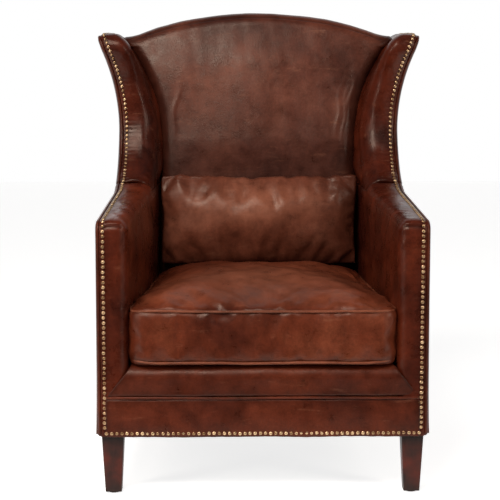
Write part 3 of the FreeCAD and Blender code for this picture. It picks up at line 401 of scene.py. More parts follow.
# %% Inside arms
def inside_arm(label, side, seed):
    edge = arm_edge(BASE + 0.0015)
    points, _, way = edge
    corner = past_corner(edge)
    target = far_line(way, corner, (FRONT + 0.05, BASE + 0.0015), (0.285, 0.230), (0.290, SEAM_Z - 0.002))
    start = outer_side(*points.T) - HEM + TURN_UNDER - inner_side(*points.T)
    grid, sideways, on_face = wrapped(edge, target, inner_side, 1, start, 0.021, crown=0.0035)
    s, end = way[:, None] - corner, way[-1] - way[:, None]
    inward = start[:, None] - sideways - TURN_UNDER - 0.010
    soft = 0.0012 * waves(grid, 0.12, seed) + 0.0005 * waves(grid, 0.03, seed + 1)
    swell = 0.006 * np.sin(math.pi * on_face) * smooth_step(s + corner, 0.1, 0.3)
    pleat_line = s + 0.0112 - 0.0015 * np.sin(sideways * 60)
    over_front = smooth_step(sideways, 0.006, 0.016) * smooth_step(0.001 + inward, -0.004, 0.004)
    pleat = 0.0026 * smooth_step(pleat_line, -0.0008, 0.0016) * np.exp(-pleat_line.clip(0) / 0.020)
    pleat = (pleat - 0.0034 * bump(pleat_line + 0.0012, 0.0019)) * over_front
    bent = bump(end - 0.016 - 0.006 * np.sin(50 * sideways), 0.006)
    gather = 0.0011 * bent * smooth_step(sideways, 0, 0.02)
    height = soft * smooth_step(inward, 0, 0.02) + swell + pleat + gather + pucker(way[:, None], inward)
    grid = displaced(grid, height - tuck(end, 0.006) - tuck(inward + 0.011, 0.004))
    # Painted shade: darker at the seam with the wing, along the nail line, over the shaded inner face and in
    # the pleat.
    painted_shade = bump(end, 0.012) + 0.6 * bump(inward, 0.010) + smooth_step(on_face, 0.1, 0.7)
    painted_shade += 1.6 * bump(pleat_line + 0.001, 0.003) * over_front
    carry_nails("arm", side, grid, start, 0.021, 0.0175)
    return leather_sheet("inside_arm_leather_" + label, grid, side, np.clip(painted_shade, 0, 1))


arms = {label: inside_arm(label, side, 23 + side) for label, side in left_and_right}
print("an inside arm has", len(arms["right"].data.vertices), "points")

# %% [markdown]
# The outside of the chair is plain: one hide below, one on the wing, stretched over card and wadding
# with a seam between them. They swell by a few millimetres. Their front edges come round the corner and
# stand a leather's thickness proud as the hem, and their foot and rear edges turn under.

# %% Outside panels
def turned_under(grid, way_out):
    """Add columns in which the far edge turns a quarter circle of 6 mm, then goes 18 mm inward."""
    last = grid[:, -1:]
    angle = np.linspace(0, math.pi / 2, 6)[1:]
    out = np.zeros((len(grid), 5, 3))
    out[..., 0] = -0.006 * (1 - np.cos(angle))
    out[..., 1:] = way_out[:, None] * (0.006 * np.sin(angle))[None, :, None]
    return np.concatenate([grid, last + out, last + out[:, -1:] - (0.018, 0, 0)], axis=1)


def outside_panel(piece, side, edge, target, way_out, seed, from_seam):
    """piece is the last part of the name, from_seam the way of each row from the seam of the panels."""
    grid, sideways, on_face = wrapped(
        edge, target, outer_side, -1, HEM, 0.007, lift=0.0016, counts=(8, 9, 44))
    s = from_seam[:, None]
    swell = 0.004 * np.sin(math.pi * np.sqrt(on_face)) + 0.0012 * waves(grid, 0.16, seed) * on_face
    hem = 0.0016 * (1 - smooth_step(HEM - sideways, 0, 0.0016))
    ripple = 0.0004 * waves(grid, 0.02, seed + 1) * smooth_step(sideways, 0, 0.004)
    grid = displaced(grid, swell - hem + ripple - tuck(s, 0.006), flip=True)
    # Painted shade: a dark line along the hem, at the seam between the panels and where the far edge turns
    # under.
    painted_shade = 0.7 * bump(HEM - sideways, 0.002) + bump(s, 0.010) + 0.5 * smooth_step(on_face, 0.9, 1)
    grid = turned_under(grid, way_out)
    painted_shade = np.pad(np.clip(painted_shade, 0, 1), ((0, 0), (0, 6)), mode="edge")
    return leather_sheet("outside_" + piece, grid, side, painted_shade, flip=True)


def rear_line(z):
    return (float(rear_plane(z)) - 0.0105, z)


outside = {}
for label, side in left_and_right:
    edge = arm_edge(BASE + 0.006)
    way, corner = edge[2], past_corner(edge)
    target = far_line(way, corner, (FRONT + 0.01, BASE + 0.006), rear_line(BASE + 0.006), rear_line(SEAM_Z))
    turn = smooth_step(way, corner - 0.004, corner + 0.004)[:, None]
    way_out = np.hstack([turn, turn - 1])
    outside["arm_" + label] = outside_panel(
        "arm_leather_" + label, side, edge, target, way_out, 41 + side, way[-1] - way)
    way = wing_edge[2]
    target = far_line(way, 0.44, rear_line(SEAM_Z), rear_line(1.02), rear_line(1.045))
    outside["wing_" + label] = outside_panel(
        "wing_leather_" + label, side, wing_edge, target, np.tile([1.0, 0.0], (len(way), 1)), 47 + side, way)
print(len(outside), "outside panels")

# %% [markdown]
# The inside back is the largest hide of the chair. Its face is upright behind the loose cushion and
# leans back 12.5 degrees above it. Its sides dive into dark gaps beside the wings, and at the top it
# rolls over the camel-shaped rail. A seam runs along that roll, 10 mm below the outline.

# %% Inside back
LEAN = math.radians(12.5)
BACK_ROLL = 0.040

def camel(x):
    """Top of the back: a crown of radius 980 mm, a hollow of radius 182 mm each side, then level."""
    x = np.abs(x)
    crown = 0.1465 + np.sqrt(0.98**2 - np.minimum(x, 0.3121) ** 2)
    hollow = SHOULDER + 0.1818 - np.sqrt(0.1818**2 - np.clip(0.370 - x, 0, 0.0579) ** 2)
    return np.where(x < 0.3121, crown, hollow)


def back_face(z):
    """Depth of the inside back: upright, a bend of radius 500 mm, then the lean."""
    arc_start, arc_end = 0.6352, 0.7435
    turned = np.clip(z - arc_start, 0, arc_end - arc_start)
    return 0.206 + 0.5 - np.sqrt(0.25 - turned**2) + np.maximum(z - arc_end, 0) * math.tan(LEAN)


def denser_ends(count, share):
    """Values from -1 to 1, closer together towards both ends."""
    quarter = math.pi / 2 * share
    return np.sin(np.linspace(-1, 1, count) * quarter) / math.sin(quarter)


FACE_ROWS = 170
BACK_FOLDS = [(0.212, 0.86, 0.06), (0.228, 0.83, 0.09), (0.240, 0.90, 0.05), (-0.225, 0.87, 0.06)]


def back_grid():
    """Rows run up the face, over the roll and along the top, columns from side to side. Also returned:
    each point's distance from the side and the height of the top over each column."""
    a = denser_ends(190, 0.92)
    top = camel(a * 0.366)
    foot = top - BACK_ROLL + BACK_ROLL * math.sin(LEAN)
    z = 0.300 + (foot - 0.300) * np.linspace(0, 1, FACE_ROWS)[:, None]
    y = back_face(z)
    angle = np.linspace(LEAN, math.pi / 2, 20)[1:, None]
    centre = y[-1] + BACK_ROLL * math.cos(LEAN)
    roll_z = top - BACK_ROLL + BACK_ROLL * np.sin(angle)
    roll_y = centre - BACK_ROLL * np.cos(angle)
    rest = np.linspace(0, 1, 12)[1:, None]
    top_z = top - 0.004 * rest**2
    top_y = centre + (0.401 - centre) * rest
    end_z = top - np.array([[0.010], [0.022]])
    end_y = np.array([[0.4045], [0.4035]]) + 0 * top
    z = np.concatenate([z, roll_z, top_z, end_z])
    y = np.concatenate([y, roll_y, top_y, end_y])
    half = wing_face(y, z) - 0.0015
    x = a * half
    return np.stack([x, y, z], axis=-1), half - np.abs(x), top


def make_inside_back():
    grid, from_side, top = back_grid()
    rows = len(grid)
    on_face = (np.arange(rows) < FACE_ROWS)[:, None]
    x, y, z = np.moveaxis(grid, -1, 0)
    shift = tuck(from_side, 0.036)
    grid[..., 1] += np.where(on_face, shift, shift * np.linspace(1, 0.4, rows)[:, None])
    grid[..., 2] -= smooth_step(z, top - 0.035, top - 0.010) * 0.8 * tuck(from_side, 0.010)
    swell = 0.009 * np.cos(x / 0.31 * math.pi / 2).clip(0)
    swell = swell * smooth_step(z, 0.70, 0.80) * (1 - smooth_step(z, 0.98, 1.10))
    seam = bump(top - z - 0.0105, 0.0022) * (y > back_face(z) + 0.004) * smooth_step(from_side, 0, 0.03)
    soft = 0.0018 * waves(grid, 0.19, 61) + 0.0003 * waves(grid * (1, 1, 0.6), 0.045, 62)
    folds = 0
    for number, (at, height, length) in enumerate(BACK_FOLDS):
        bend = at + 0.02 * (z - height) + 0.004 * np.sin(z * 60 + number)
        folds = folds + 0.0016 * bump(x - bend - flare(z), 0.0065) * bump(z - height, length)
    grid = displaced(grid, swell + soft + folds - 0.0022 * seam, flip=True)
    # Painted shade: darker near the sides, where the back dives into the gaps beside the wings, along the top
    # seam, and towards the bottom, behind the lumbar cushion.
    painted_shade = smooth_step(0.06 - from_side, 0, 0.055) + 0.8 * seam + 0.95 * smooth_step(0.95 - z, 0, 0.24)
    return leather_sheet("inside_back_leather", grid, 1, np.clip(painted_shade, 0, 1), flip=True)


inside_back = make_inside_back()
print("inside back has", len(inside_back.data.vertices), "points")

# %% [markdown]
# The outside back is one raked panel under the same camel line, tacked over the hides of the sides. It
# needs no more than a gentle swell and edges that turn in.

# %% Outside back
def make_outside_back():
    a = np.linspace(-1, 1, 150)
    foot, high = BASE + 0.002, camel(np.clip(a * 0.418, -0.37, 0.37)) - 0.003
    z = foot + (high - foot) * np.linspace(0, 1, 150)[:, None]
    y = rear_plane(z)
    half = outer_side(y, z) - 0.0015
    x = a * half
    edge = np.minimum(np.minimum(half - np.abs(x), high - z + 0.001), z - BASE)
    y = y - 0.0012 - 0.9 * tuck(edge, 0.006) + 0.004 * smooth_step(edge, 0, 0.16)
    grid = np.stack([x, y, z], axis=-1)
    grid[..., 1] += 0.0009 * waves(grid, 0.16, 71) * smooth_step(edge, 0.01, 0.05)
    # Painted shade: darker along the edges, where they turn in.
    return leather_sheet("outside_back_leather", grid, 1, 0.8 * bump(edge, 0.012))


outside_back = make_outside_back()
print("outside back has", len(outside_back.data.vertices), "points")

# %% [markdown]
# Below the seat cushion the front has three parts: the lip of the seat deck, rolled over the edge and
# cut to mitres where it meets the arms, a thin welt, and the panel over the front rail.

# %% Lip, welt and front rail
FACE = FRONT - 0.0035


def front_panel(name, rows, half, seed, swell):
    """A profile of (y, z) rows carried across, with both ends tucked into their seams."""
    y, z = np.array(rows).T[:, :, None]
    half = np.array(half)[:, None]
    grid = np.stack(np.broadcast_arrays(denser_ends(260, 0.97) * half, y, z), axis=-1).copy()
    from_end = half - np.abs(grid[..., 0])
    along = np.linspace(0, 1, len(rows))[:, None]
    height = swell * np.sin(math.pi * along) + 0.0011 * waves(grid * (1, 2, 2), 0.12, seed)
    height += 0.0005 * waves(grid * (1, 0.3, 0.3), 0.025, seed + 1) * bump(along, 0.25)
    grid = displaced(grid, height - tuck(from_end, 0.005), flip=True)
    # Painted shade: darker at both tucked ends and along the top and bottom edges.
    painted_shade = bump(from_end, 0.009) + 0.9 * bump(along, 0.12) + 0.8 * bump(1 - along, 0.12)
    return leather_sheet(name, grid, 1, np.clip(painted_shade, 0, 1), flip=True)


turn = np.radians(np.linspace(0, 90, 18))
lip_rows = [(FACE + 0.006, 0.2345), (FACE + 0.003, 0.2352), (FACE + 0.0008, 0.2372)]
lip_rows += [(FACE, z) for z in np.linspace(0.2400, 0.276, 14)]
lip_rows += [(FACE + 0.028 - 0.028 * math.cos(t), 0.2765 + 0.028 * math.sin(t)) for t in turn[1:]]
lip_rows += [(y, 0.3045) for y in np.linspace(FACE + 0.034, -0.322, 16)]
lip_half = []
for y, z in lip_rows:
    mitre = 0.307 + np.clip(0.305 - z, 0, 0.069) / 0.069 * 0.0565
    between_arms = float(inner_side(y, z)) - 0.001
    lip_half.append(min(mitre, between_arms) if y > FRONT + 0.012 else mitre)
lip = front_panel("front_lip_leather", lip_rows, lip_half, 81, 0.0035)
rail_rows = [(FACE + 0.030, 0.1388), (FACE + 0.012, 0.1388)]
rail_rows += [(FACE + 0.005 - 0.005 * math.cos(t), 0.144 - 0.005 * math.sin(t)) for t in turn[1::3][::-1]]
rail_rows += [(FACE, z) for z in np.linspace(0.2245, 0.1450, 26)[::-1]]
rail_rows += [(FACE + 0.0008, 0.2268), (FACE + 0.003, 0.2286), (FACE + 0.006, 0.2290)]
rail = front_panel("front_rail_leather", rail_rows, [0.3660] * len(rail_rows), 85, 0.0025)


def ring_points(path, first, second, radius, sides):
    """Circles round the points of a path, in the plane of two directions for each point."""
    angle = (np.arange(sides) * 2 * math.pi / sides)[None, :, None]
    ring = first[:, None] * np.cos(angle) + second[:, None] * np.sin(angle)
    return (path[:, None] + ring * radius).reshape(-1, 3)


def closed_up(item, distance=0.00005):
    """Merge doubles, as at a pole, and point all faces outwards."""
    shell = bmesh.new()
    shell.from_mesh(item.data)
    bmesh.ops.remove_doubles(shell, verts=shell.verts, dist=distance)
    bmesh.ops.recalc_face_normals(shell, faces=shell.faces)
    shell.to_mesh(item.data)
    shell.free()
    return item


def tube(name, path, radius, sides=10):
    """A round cord of leather: rings carried along a path, drawn to a point at both ends."""
    way = unit(np.gradient(path, axis=0))
    first = unit(np.cross(way, (0.0, 0.31, 1.0)))
    ends = np.minimum(np.arange(len(path)), np.arange(len(path))[::-1])
    size = radius * np.sqrt(np.clip(ends / 3, 0.0001, 1))[:, None, None]
    points = ring_points(path, first, np.cross(way, first), size, sides)
    return closed_up(new_mesh(name, points, grid_faces(len(path), sides, ring=True, flip=True)))


welt_x = np.linspace(-0.3655, 0.3655, 240)
welt_z = 0.2318 + 0.0006 * np.sin(welt_x * 17)
front_welt = tube("front_welt_cord", np.stack([welt_x, 0 * welt_x + FACE + 0.0005, welt_z], axis=1), 0.0034)
print("front:", lip.name, rail.name, front_welt.name)

# %% [markdown]
# A loose cushion is a filled bag, and nothing shapes a bag as well as pressure. Each cushion starts as
# a closed form a little smaller than its place, is remeshed into even faces, and is blown up by the
# cloth simulation while its seams are held. The hide is cut a few percent too large, so it gathers
# along the seams as it fills. How far a point may move is capped, and the result is applied.

# %% Fill a cushion
FRAMES = 20
CLOTH = {
    "quality": 6, "mass": 0.4, "tension_stiffness": 18, "compression_stiffness": 18, "shear_stiffness": 8,
    "bending_stiffness": 4, "vertex_group_mass": "held", "pin_stiffness": 1, "use_pressure": True,
}


def vectors(item, kind="co"):
    """The places of an object's points as an array, or their normals."""
    values = np.empty(len(item.data.vertices) * 3, dtype=np.float32)
    item.data.vertices.foreach_get(kind, values)
    return values.reshape(-1, 3).astype(float)


def move_points(item, points):
    item.data.vertices.foreach_set("co", points.astype(np.float32).ravel())
    item.data.update()


def apply_modifiers(item):
    """Replace an object's mesh by what its modifiers make of it."""
    evaluated = item.evaluated_get(bpy.context.evaluated_depsgraph_get())
    mesh = bpy.data.meshes.new_from_object(evaluated)
    item.modifiers.clear()
    old, item.data = item.data, mesh
    bpy.data.meshes.remove(old)
    return item


def relaxed(item, times):
    relax = item.modifiers.new("relax", "SMOOTH")
    relax.iterations = times
    return apply_modifiers(item)


def even_faces(item, size):
    voxels = item.modifiers.new("even_faces", "REMESH")
    voxels.mode = "VOXEL"
    voxels.voxel_size = size
    voxels.use_smooth_shade = True
    return relaxed(apply_modifiers(item), 6)


def nearest(points, targets):
    """Distance from each point to its nearest target and the target's number, in slices that fit in
    memory."""
    size = 1 + 3_000_000 // len(targets)
    gaps, picks = [], []
    for start in range(0, len(points), size):
        squares = ((points[start:start + size, None] - targets[None]) ** 2).sum(axis=2)
        gaps.append(np.sqrt(squares.min(axis=1)))
        picks.append(squares.argmin(axis=1))
    return np.concatenate(gaps), np.concatenate(picks)


def filled(item, held, cap, spare, pressure):
    """Blow an object up like a cushion. held marks where the hide can't move, spare is the extra hide,
    cap is the longest way that a point may go."""
    before = vectors(item)
    item.vertex_groups.new(name="held").add(np.where(held)[0].tolist(), 1.0, "REPLACE")
    cloth = item.modifiers.new("filling", "CLOTH")
    for key, value in CLOTH.items():
        setattr(cloth.settings, key, value)
    cloth.settings.shrink_min = -spare
    cloth.settings.uniform_pressure_force = pressure
    cloth.settings.effector_weights.gravity = 0
    cloth.collision_settings.use_collision = False
    cloth.collision_settings.use_self_collision = False
    cloth.point_cache.frame_start, cloth.point_cache.frame_end = 1, FRAMES
    for step in range(1, FRAMES + 1):
        scene.frame_set(step)
    apply_modifiers(item)
    scene.frame_set(1)
    moved = vectors(item) - before
    moved *= cap / (cap + np.linalg.norm(moved, axis=1, keepdims=True))
    item.vertex_groups.clear()
    move_points(item, before + moved)
    longest = float(np.linalg.norm(moved, axis=1).max())
    print(item.name, "filled, largest move", round(longest * 1000, 1), "mm")
    return relaxed(item, 3)


def refined(item):
    finer = item.modifiers.new("finer", "SUBSURF")
    finer.levels = finer.render_levels = 1
    print(item.name, "has", len(item.data.vertices), "points before its subdivision")


print("cushions are filled with", "cloth", "simulation")

# %% [markdown]
# The seat is a box cushion: a band of leather between two panels, with a welt in both seams. Its plan
# is a rounded trapezium with sides that are drawn in. The band stands up straight, the top is crowned,
# and long use has left three creases that curve round each rear corner.

# %% Seat cushion
SEAT_GAP = 0.0012
SEAT_FRONT, SEAT_BACK, SEAT_CORNER = -0.4145, 0.2045, 0.034
SEAT_MIDDLE = np.array([0.0, -0.105])
SEAT_PROFILE = [
    (0.995, 0.3062), (0.6, 0.3062), (0.12, 0.3062), (0.045, 0.3070), (0.016, 0.3090), (0.004, 0.3120),
    *[(0.0, z) for z in np.linspace(0.322, 0.428, 12)],
    (0.002, 0.4350), (0.010, 0.4395), (0.03, 0.4425), (0.07, 0.4480), (0.15, 0.4575), (0.25, 0.4655),
    (0.38, 0.4725), (0.55, 0.4775), (0.75, 0.4800), (0.995, 0.4810),
]


def seat_outline(count):
    """Points around the plan at even spacing: four quarter circles joined by slightly hollow sides."""
    runs = []
    corners = [(1, SEAT_FRONT), (1, SEAT_BACK), (-1, SEAT_BACK), (-1, SEAT_FRONT)]
    for number, (side, y) in enumerate(corners):
        x = side * (float(inner_side(y, 0.4)) - SEAT_GAP - SEAT_CORNER)
        angle = np.radians(90 * number + np.linspace(-90, 0, 16))
        centre = (x, y - math.copysign(SEAT_CORNER, y))
        runs.append(centre + SEAT_CORNER * np.stack([np.cos(angle), np.sin(angle)], axis=1))
    ring = np.concatenate(runs + [runs[0][:1]])
    way = np.concatenate([[0], np.cumsum(np.linalg.norm(np.diff(ring, axis=0), axis=1))])
    at = np.linspace(0, way[-1], count, endpoint=False)
    ring = np.stack([np.interp(at, way, ring[:, 0]), np.interp(at, way, ring[:, 1])], axis=1)
    reach = np.abs(ring - SEAT_MIDDLE) / (0.30, 0.31)
    drawn = 0.004 * (1 - np.clip(reach.min(axis=1) * 1.4, 0, 1) ** 2)
    return ring - unit(ring - SEAT_MIDDLE) * drawn[:, None]


def make_seat_cushion():
    """The outline at each height of the profile, drawn in by the share that goes with it."""
    ring = seat_outline(240)
    share, height = np.array(SEAT_PROFILE).T[:, :, None, None]
    flat = SEAT_MIDDLE + (ring - SEAT_MIDDLE) * (1 - share)
    grid = np.concatenate([flat, np.broadcast_to(height, (*flat.shape[:2], 1))], axis=-1)
    item = new_mesh("seat_cushion_leather", grid.reshape(-1, 3), grid_faces(len(share), 240, ring=True))
    fill = bmesh.new()
    fill.from_mesh(item.data)
    bmesh.ops.holes_fill(fill, edges=[edge for edge in fill.edges if edge.is_boundary])
    bmesh.ops.recalc_face_normals(fill, faces=fill.faces)
    fill.to_mesh(item.data)
    fill.free()
    return even_faces(item, 0.0069)


top_seam, bottom_seam = (np.insert(seat_outline(420), 2, height, axis=1) for height in (0.438, 0.3115))
lifted = bump(np.abs(bottom_seam[:, 0]) - 0.31, 0.035) * (bottom_seam[:, 1] < -0.33)
bottom_seam[:, 2] += 0.010 * lifted
seat_cushion = make_seat_cushion()
points = vectors(seat_cushion)
from_seam = np.minimum(nearest(points, top_seam)[0], nearest(points, bottom_seam)[0])
filled(seat_cushion, (from_seam < 0.006) | (points[:, 2] < 0.309), cap=0.020, spare=0.035, pressure=3.5)
points = vectors(seat_cushion)
x, y, z = points.T
to_top, to_bottom = nearest(points, top_seam)[0], nearest(points, bottom_seam)[0]
over = smooth_step(z, 0.440, 0.452)
creases = 0
for side, wobble in ((1, 0.01 * np.sin(5 * y)), (-1, 0.008 * np.cos(6 * y))):
    around = np.hypot(side * x - 0.10, y + 0.02) - wobble
    fade = smooth_step(side * x, 0.10, 0.17) * smooth_step(y, -0.16, 0.02)
    for radius, depth in ((0.158, 0.0040), (0.177, 0.0032), (0.198, 0.0024)):
        creases = creases - depth * bump(around - radius, 0.0045) * fade
edge_folds = 0.0004 * waves(points * (1, 0.25, 0.25), 0.030, 91) * np.exp(-to_top / 0.028)
soft = 0.0026 * waves(points, 0.12, 92) + 0.0012 * waves(points, 0.05, 93)
height = over * (creases + soft) + edge_folds + (1 - over) * 0.0010 * waves(points, 0.07, 94) * (z > 0.311)
height = height - 0.0022 * bump(to_top, 0.008) - 0.0022 * bump(to_bottom, 0.008)
points = points + vectors(seat_cushion, "normal") * height[:, None]
points[:, 2] = np.maximum(points[:, 2], 0.3058)
move_points(seat_cushion, points)
# Painted shade: darker along both welted seams, towards the back under the lumbar cushion, and in the
# creases.
painted_shade = 0.9 * bump(to_top, 0.009) + 0.9 * bump(to_bottom, 0.012) + 0.8 * smooth_step(y, 0.06, 0.2)
attribute(seat_cushion, "painted_shade", np.clip(painted_shade - 400 * creases * over, 0, 1))
# Paler patch on the front of the seat top: wear, and a painted highlight.
attribute(seat_cushion, "wear_and_painted_highlight", over * bump(np.hypot(x / 0.26, (y + 0.22) / 0.17), 1.0))
refined(seat_cushion)


def welt_on(item, name, seam):
    """A welt follows its seam on the nearest points of the filled cushion, evened out over 13 points
    and pushed out by 3 mm at the front, so that it doesn't sink in."""
    skin = vectors(item)
    path = skin[nearest(seam, skin)[1]]
    for axis in range(3):
        padded = np.concatenate([path[-6:, axis], path[:, axis], path[:6, axis]])
        path[:, axis] = np.convolve(padded, np.ones(13) / 13, "valid")
    along = np.roll(path, -4, axis=0) - np.roll(path, 4, axis=0)
    out = np.stack([0.5 * along[:, 1], -along[:, 0]], axis=1) / np.linalg.norm(along, axis=1, keepdims=True)
    path[:, :2] += 0.0030 * out * smooth_step(-path[:, 1:2], 0.30, 0.37)
    loop = np.concatenate([path, path[:1]])
    way = np.gradient(loop, axis=0)
    way[0] = way[-1] = way[0] + way[-1]
    up = np.broadcast_to((0.0, 0.0, 1.0), way.shape)
    points = ring_points(loop, unit(np.cross(unit(way), up)), up, 0.0033, 8)
    welt = closed_up(new_mesh(name, points, grid_faces(len(loop), 8, ring=True)))
    # The welts are paler all along: wear, and a painted highlight on the cord.
    attribute(welt, "wear_and_painted_highlight", np.full(len(welt.data.vertices), 0.9))
    return welt


seat_welts = [welt_on(seat_cushion, "seat_top_welt", top_seam),
              welt_on(seat_cushion, "seat_bottom_welt", bottom_seam)]

# %% [markdown]
# The lumbar cushion is a knife-edge pillow: two panels sewn edge to edge, with nothing between them.
# Its corners point a little outward because the filling draws the middle of each side in. The hide
# gathers along the top seam, which shows as short puckers.

# %% Lumbar cushion
PILLOW_HALF = np.array([0.262, 0.052, 0.1195])
PILLOW_LEAN = math.radians(5)
PILLOW_MIDDLE = np.array([0.0, 0.1511, 0.5875])


def placed_pillow(local):
    """Lean the pillow back and stand it on the seat."""
    x, y, z = np.moveaxis(local, -1, 0)
    leant_y = y * math.cos(PILLOW_LEAN) + z * math.sin(PILLOW_LEAN)
    leant_z = z * math.cos(PILLOW_LEAN) - y * math.sin(PILLOW_LEAN)
    return np.stack([x, leant_y, leant_z], axis=-1) + PILLOW_MIDDLE


def pillow_sheet(front):
    """One panel. Its top and its ends are drawn in by 7 mm, its swell is a product of two profiles."""
    a = np.linspace(-1, 1, 120)[None, :]
    b = np.linspace(-1, 1, 60)[:, None]
    x = PILLOW_HALF[0] * a * (1 - 0.030 * (1 - b**2))
    z = PILLOW_HALF[2] * b * np.where(b > 0, 1 - 0.060 * (1 - a**2), 1.0)
    swell = ((1 - a**4) * (1 - b**2)).clip(0) ** 0.5 * (1 - 0.18 * a**2)
    y = (-1 if front else 1) * 0.90 * PILLOW_HALF[1] * swell
    return np.stack(np.broadcast_arrays(x, y, z), axis=-1)


def make_lumbar_cushion(front, back):
    points = np.concatenate([front.reshape(-1, 3), back.reshape(-1, 3)])
    faces = np.concatenate([grid_faces(60, 120, flip=True), grid_faces(60, 120) + len(points) // 2])
    item = closed_up(new_mesh("lumbar_cushion_leather", placed_pillow(points), faces), 0.0003)
    return even_faces(item, 0.0050)


panel = pillow_sheet(True)
outline = np.concatenate([panel[0], panel[:, -1], panel[-1, ::-1], panel[::-1, 0]])
pillow_seam = placed_pillow(outline * (0.994, 0, 0.985))
lumbar_cushion = make_lumbar_cushion(panel, pillow_sheet(False))
held = nearest(vectors(lumbar_cushion), pillow_seam)[0] < 0.006
filled(lumbar_cushion, held, cap=0.016, spare=0.05, pressure=3.0)
points = vectors(lumbar_cushion)
x, y, z = points.T
to_seam = nearest(points, pillow_seam)[0]
puckers = 0.0026 * waves(points * (1, 0.1, 0.10), 0.026, 101) * np.exp(-to_seam / 0.028)
puckers = puckers * (0.30 + smooth_step(z, 0.60, 0.66))
soft = 0.0020 * waves(points, 0.12, 102) + 0.0008 * waves(points, 0.04, 103)
points = points + vectors(lumbar_cushion, "normal") * (puckers + soft)[:, None]
points[:, 1] = np.minimum(points[:, 1], back_face(points[:, 2]) - 0.0008)
points[:, 0] = np.clip(points[:, 0], -0.2635, 0.2635)
# Painted shade: darker along the seam, at the bottom where the pillow sits on the seat, and on its right
# side, away from the light.
painted_shade = 0.9 * bump(to_seam, 0.008) + 0.6 * smooth_step(-z, -0.50, -0.47) + 0.5 * smooth_step(x, 0.06, 0.20)
attribute(lumbar_cushion, "painted_shade", np.clip(painted_shade, 0, 1))
# Paler patch high on the middle of the pillow: wear, and a painted highlight.
attribute(lumbar_cushion, "wear_and_painted_highlight", bump(np.hypot(x / 0.2, (z - 0.63) / 0.05), 1.0))
move_points(lumbar_cushion, points)
refined(lumbar_cushion)

# %% [markdown]
# The nails are what the eye follows: domed heads of aged brass, almost touching, up the front of each
# arm, back along it, up the wing and over its top. Others run along the foot of the chair and round the
# outside back. Each row is spaced along its own length. The rows on arms and wings are read from the
# leather that carries them.

# %% Rows of nails
LEANT_BACK = (0.0, 1.0, -0.087)
rows = []


def read_row(grid, column):
    """Points and normals of a grid at a fractional column of each row."""
    each, low = np.arange(len(grid)), np.floor(column).astype(int)
    part = (column - low)[:, None]
    both = (grid, grid_normals(grid))
    return [values[each, low] * (1 - part) + values[each, low + 1] * part for values in both]


def spaced(points, normals):
    """Nails at even spacing along a row."""
    way = np.concatenate([[0], np.cumsum(np.linalg.norm(np.diff(points, axis=0), axis=1))])
    count = max(1, round(way[-1] / NAIL_PITCH))
    at = way[-1] * np.arange(count + 1) / count
    return [np.stack([np.interp(at, way, axis) for axis in values.T], axis=1) for values in (points, normals)]


def nail_row(x, y, z, facing):
    """A row through the places that x, y and z give, with one direction for all its nails."""
    path = np.stack(np.broadcast_arrays(x, y, z), axis=1)
    rows.append(spaced(path, np.tile(facing, (len(path), 1))))


for side in (1, -1):
    lines = {kind: read_row(grid, column) for kind, row_side, grid, column in nail_rows if row_side == side}
    arm_nails, wing_nails = np.stack(lines["arm"], axis=1), np.stack(lines["wing"], axis=1)
    arm_nails = arm_nails[arm_nails[:, 0, 2] > 0.1600][:-4]
    wing_nails = wing_nails[(wing_nails[:, 0, 2] > SEAM_Z + 0.008) & (wing_nails[:, 0, 1] < 0.398)]
    both = np.concatenate([arm_nails, wing_nails])
    rows.append([values * (side, 1, 1) for values in spaced(both[:, 0], both[:, 1])])
    heights = np.linspace(1.048, 0.152, 120)
    behind = rear_plane(heights) + 0.0004
    nail_row(side * (outer_side(behind, heights) - 0.0155), behind, heights, LEANT_BACK)
    depth = np.linspace(-0.388, 0.314, 80)
    nail_row(side * (outer_side(depth, 0.2) + 0.0005), depth, 0.1500, (side, 0.03, 0.0))
nail_row(np.linspace(-0.3635, 0.3635, 200), FACE - 0.0006, 0.1488, (0.0, -1.0, 0.0))
nail_row(np.linspace(-0.330, 0.330, 200), rear_plane(0.151) - 0.0002, 0.151, LEANT_BACK)
across = np.linspace(-0.385, 0.385, 200)
below_top = camel(across.clip(-0.37, 0.37)) - 0.0165
nail_row(across, rear_plane(below_top) + 0.0004, below_top, LEANT_BACK)
places, facing = (np.concatenate(values) for values in zip(*rows))
print(len(places), "nails in", len(rows), "rows")

# %% [markdown]
# All heads go into one mesh that repeats a dome of five bands. Each nail is a little off its place and
# its direction, and has its own age.

# %% Nail heads
DOME = np.array([
    (0, -0.0012), (0.0043, -0.0008), (0.0045, 0.0005), (0.0038, 0.0017), (0.0022, 0.0027), (0, 0.0030)
])
SIDES = 10


def nail_heads(places, facing):
    """The dome's ring of points at each of its levels, turned to the direction of each nail."""
    random = np.random.default_rng(7)
    count, per_nail = len(places), len(DOME) * SIDES
    facing = unit(facing + random.normal(scale=0.03, size=facing.shape))
    first = unit(np.cross(facing, (0.3, 0.2, 0.93)))
    places = places + random.normal(scale=0.00025, size=places.shape)
    places, facing, first = (np.repeat(values, len(DOME), axis=0) for values in (places, facing, first))
    radius, level = np.tile(DOME.T, count)[:, :, None]
    points = ring_points(
        places + facing * level, first, np.cross(facing, first), radius[..., None], SIDES)
    faces = grid_faces(len(DOME), SIDES, ring=True, flip=True)
    faces = (faces + (np.arange(count) * per_nail)[:, None, None]).reshape(-1, 4)
    item = new_mesh("brass_nails", points, faces)
    attribute(item, "age", np.repeat(random.uniform(0, 1, count), per_nail))
    return closed_up(item, 0.00002)


nails = nail_heads(places, unit(facing))
print("nail heads:", len(nails.data.polygons), "faces")

# %% [markdown]
# Under the loose cushion lies the deck, a pad in plain canvas that nobody is meant to see, and under
# the frame a thin black dust cover is stretched between the legs.

# %% Seat deck and dust cover
DECK_FRONT = -0.336
LEG_TOP = 0.060
REAR_LEG_MIDDLE = 0.026


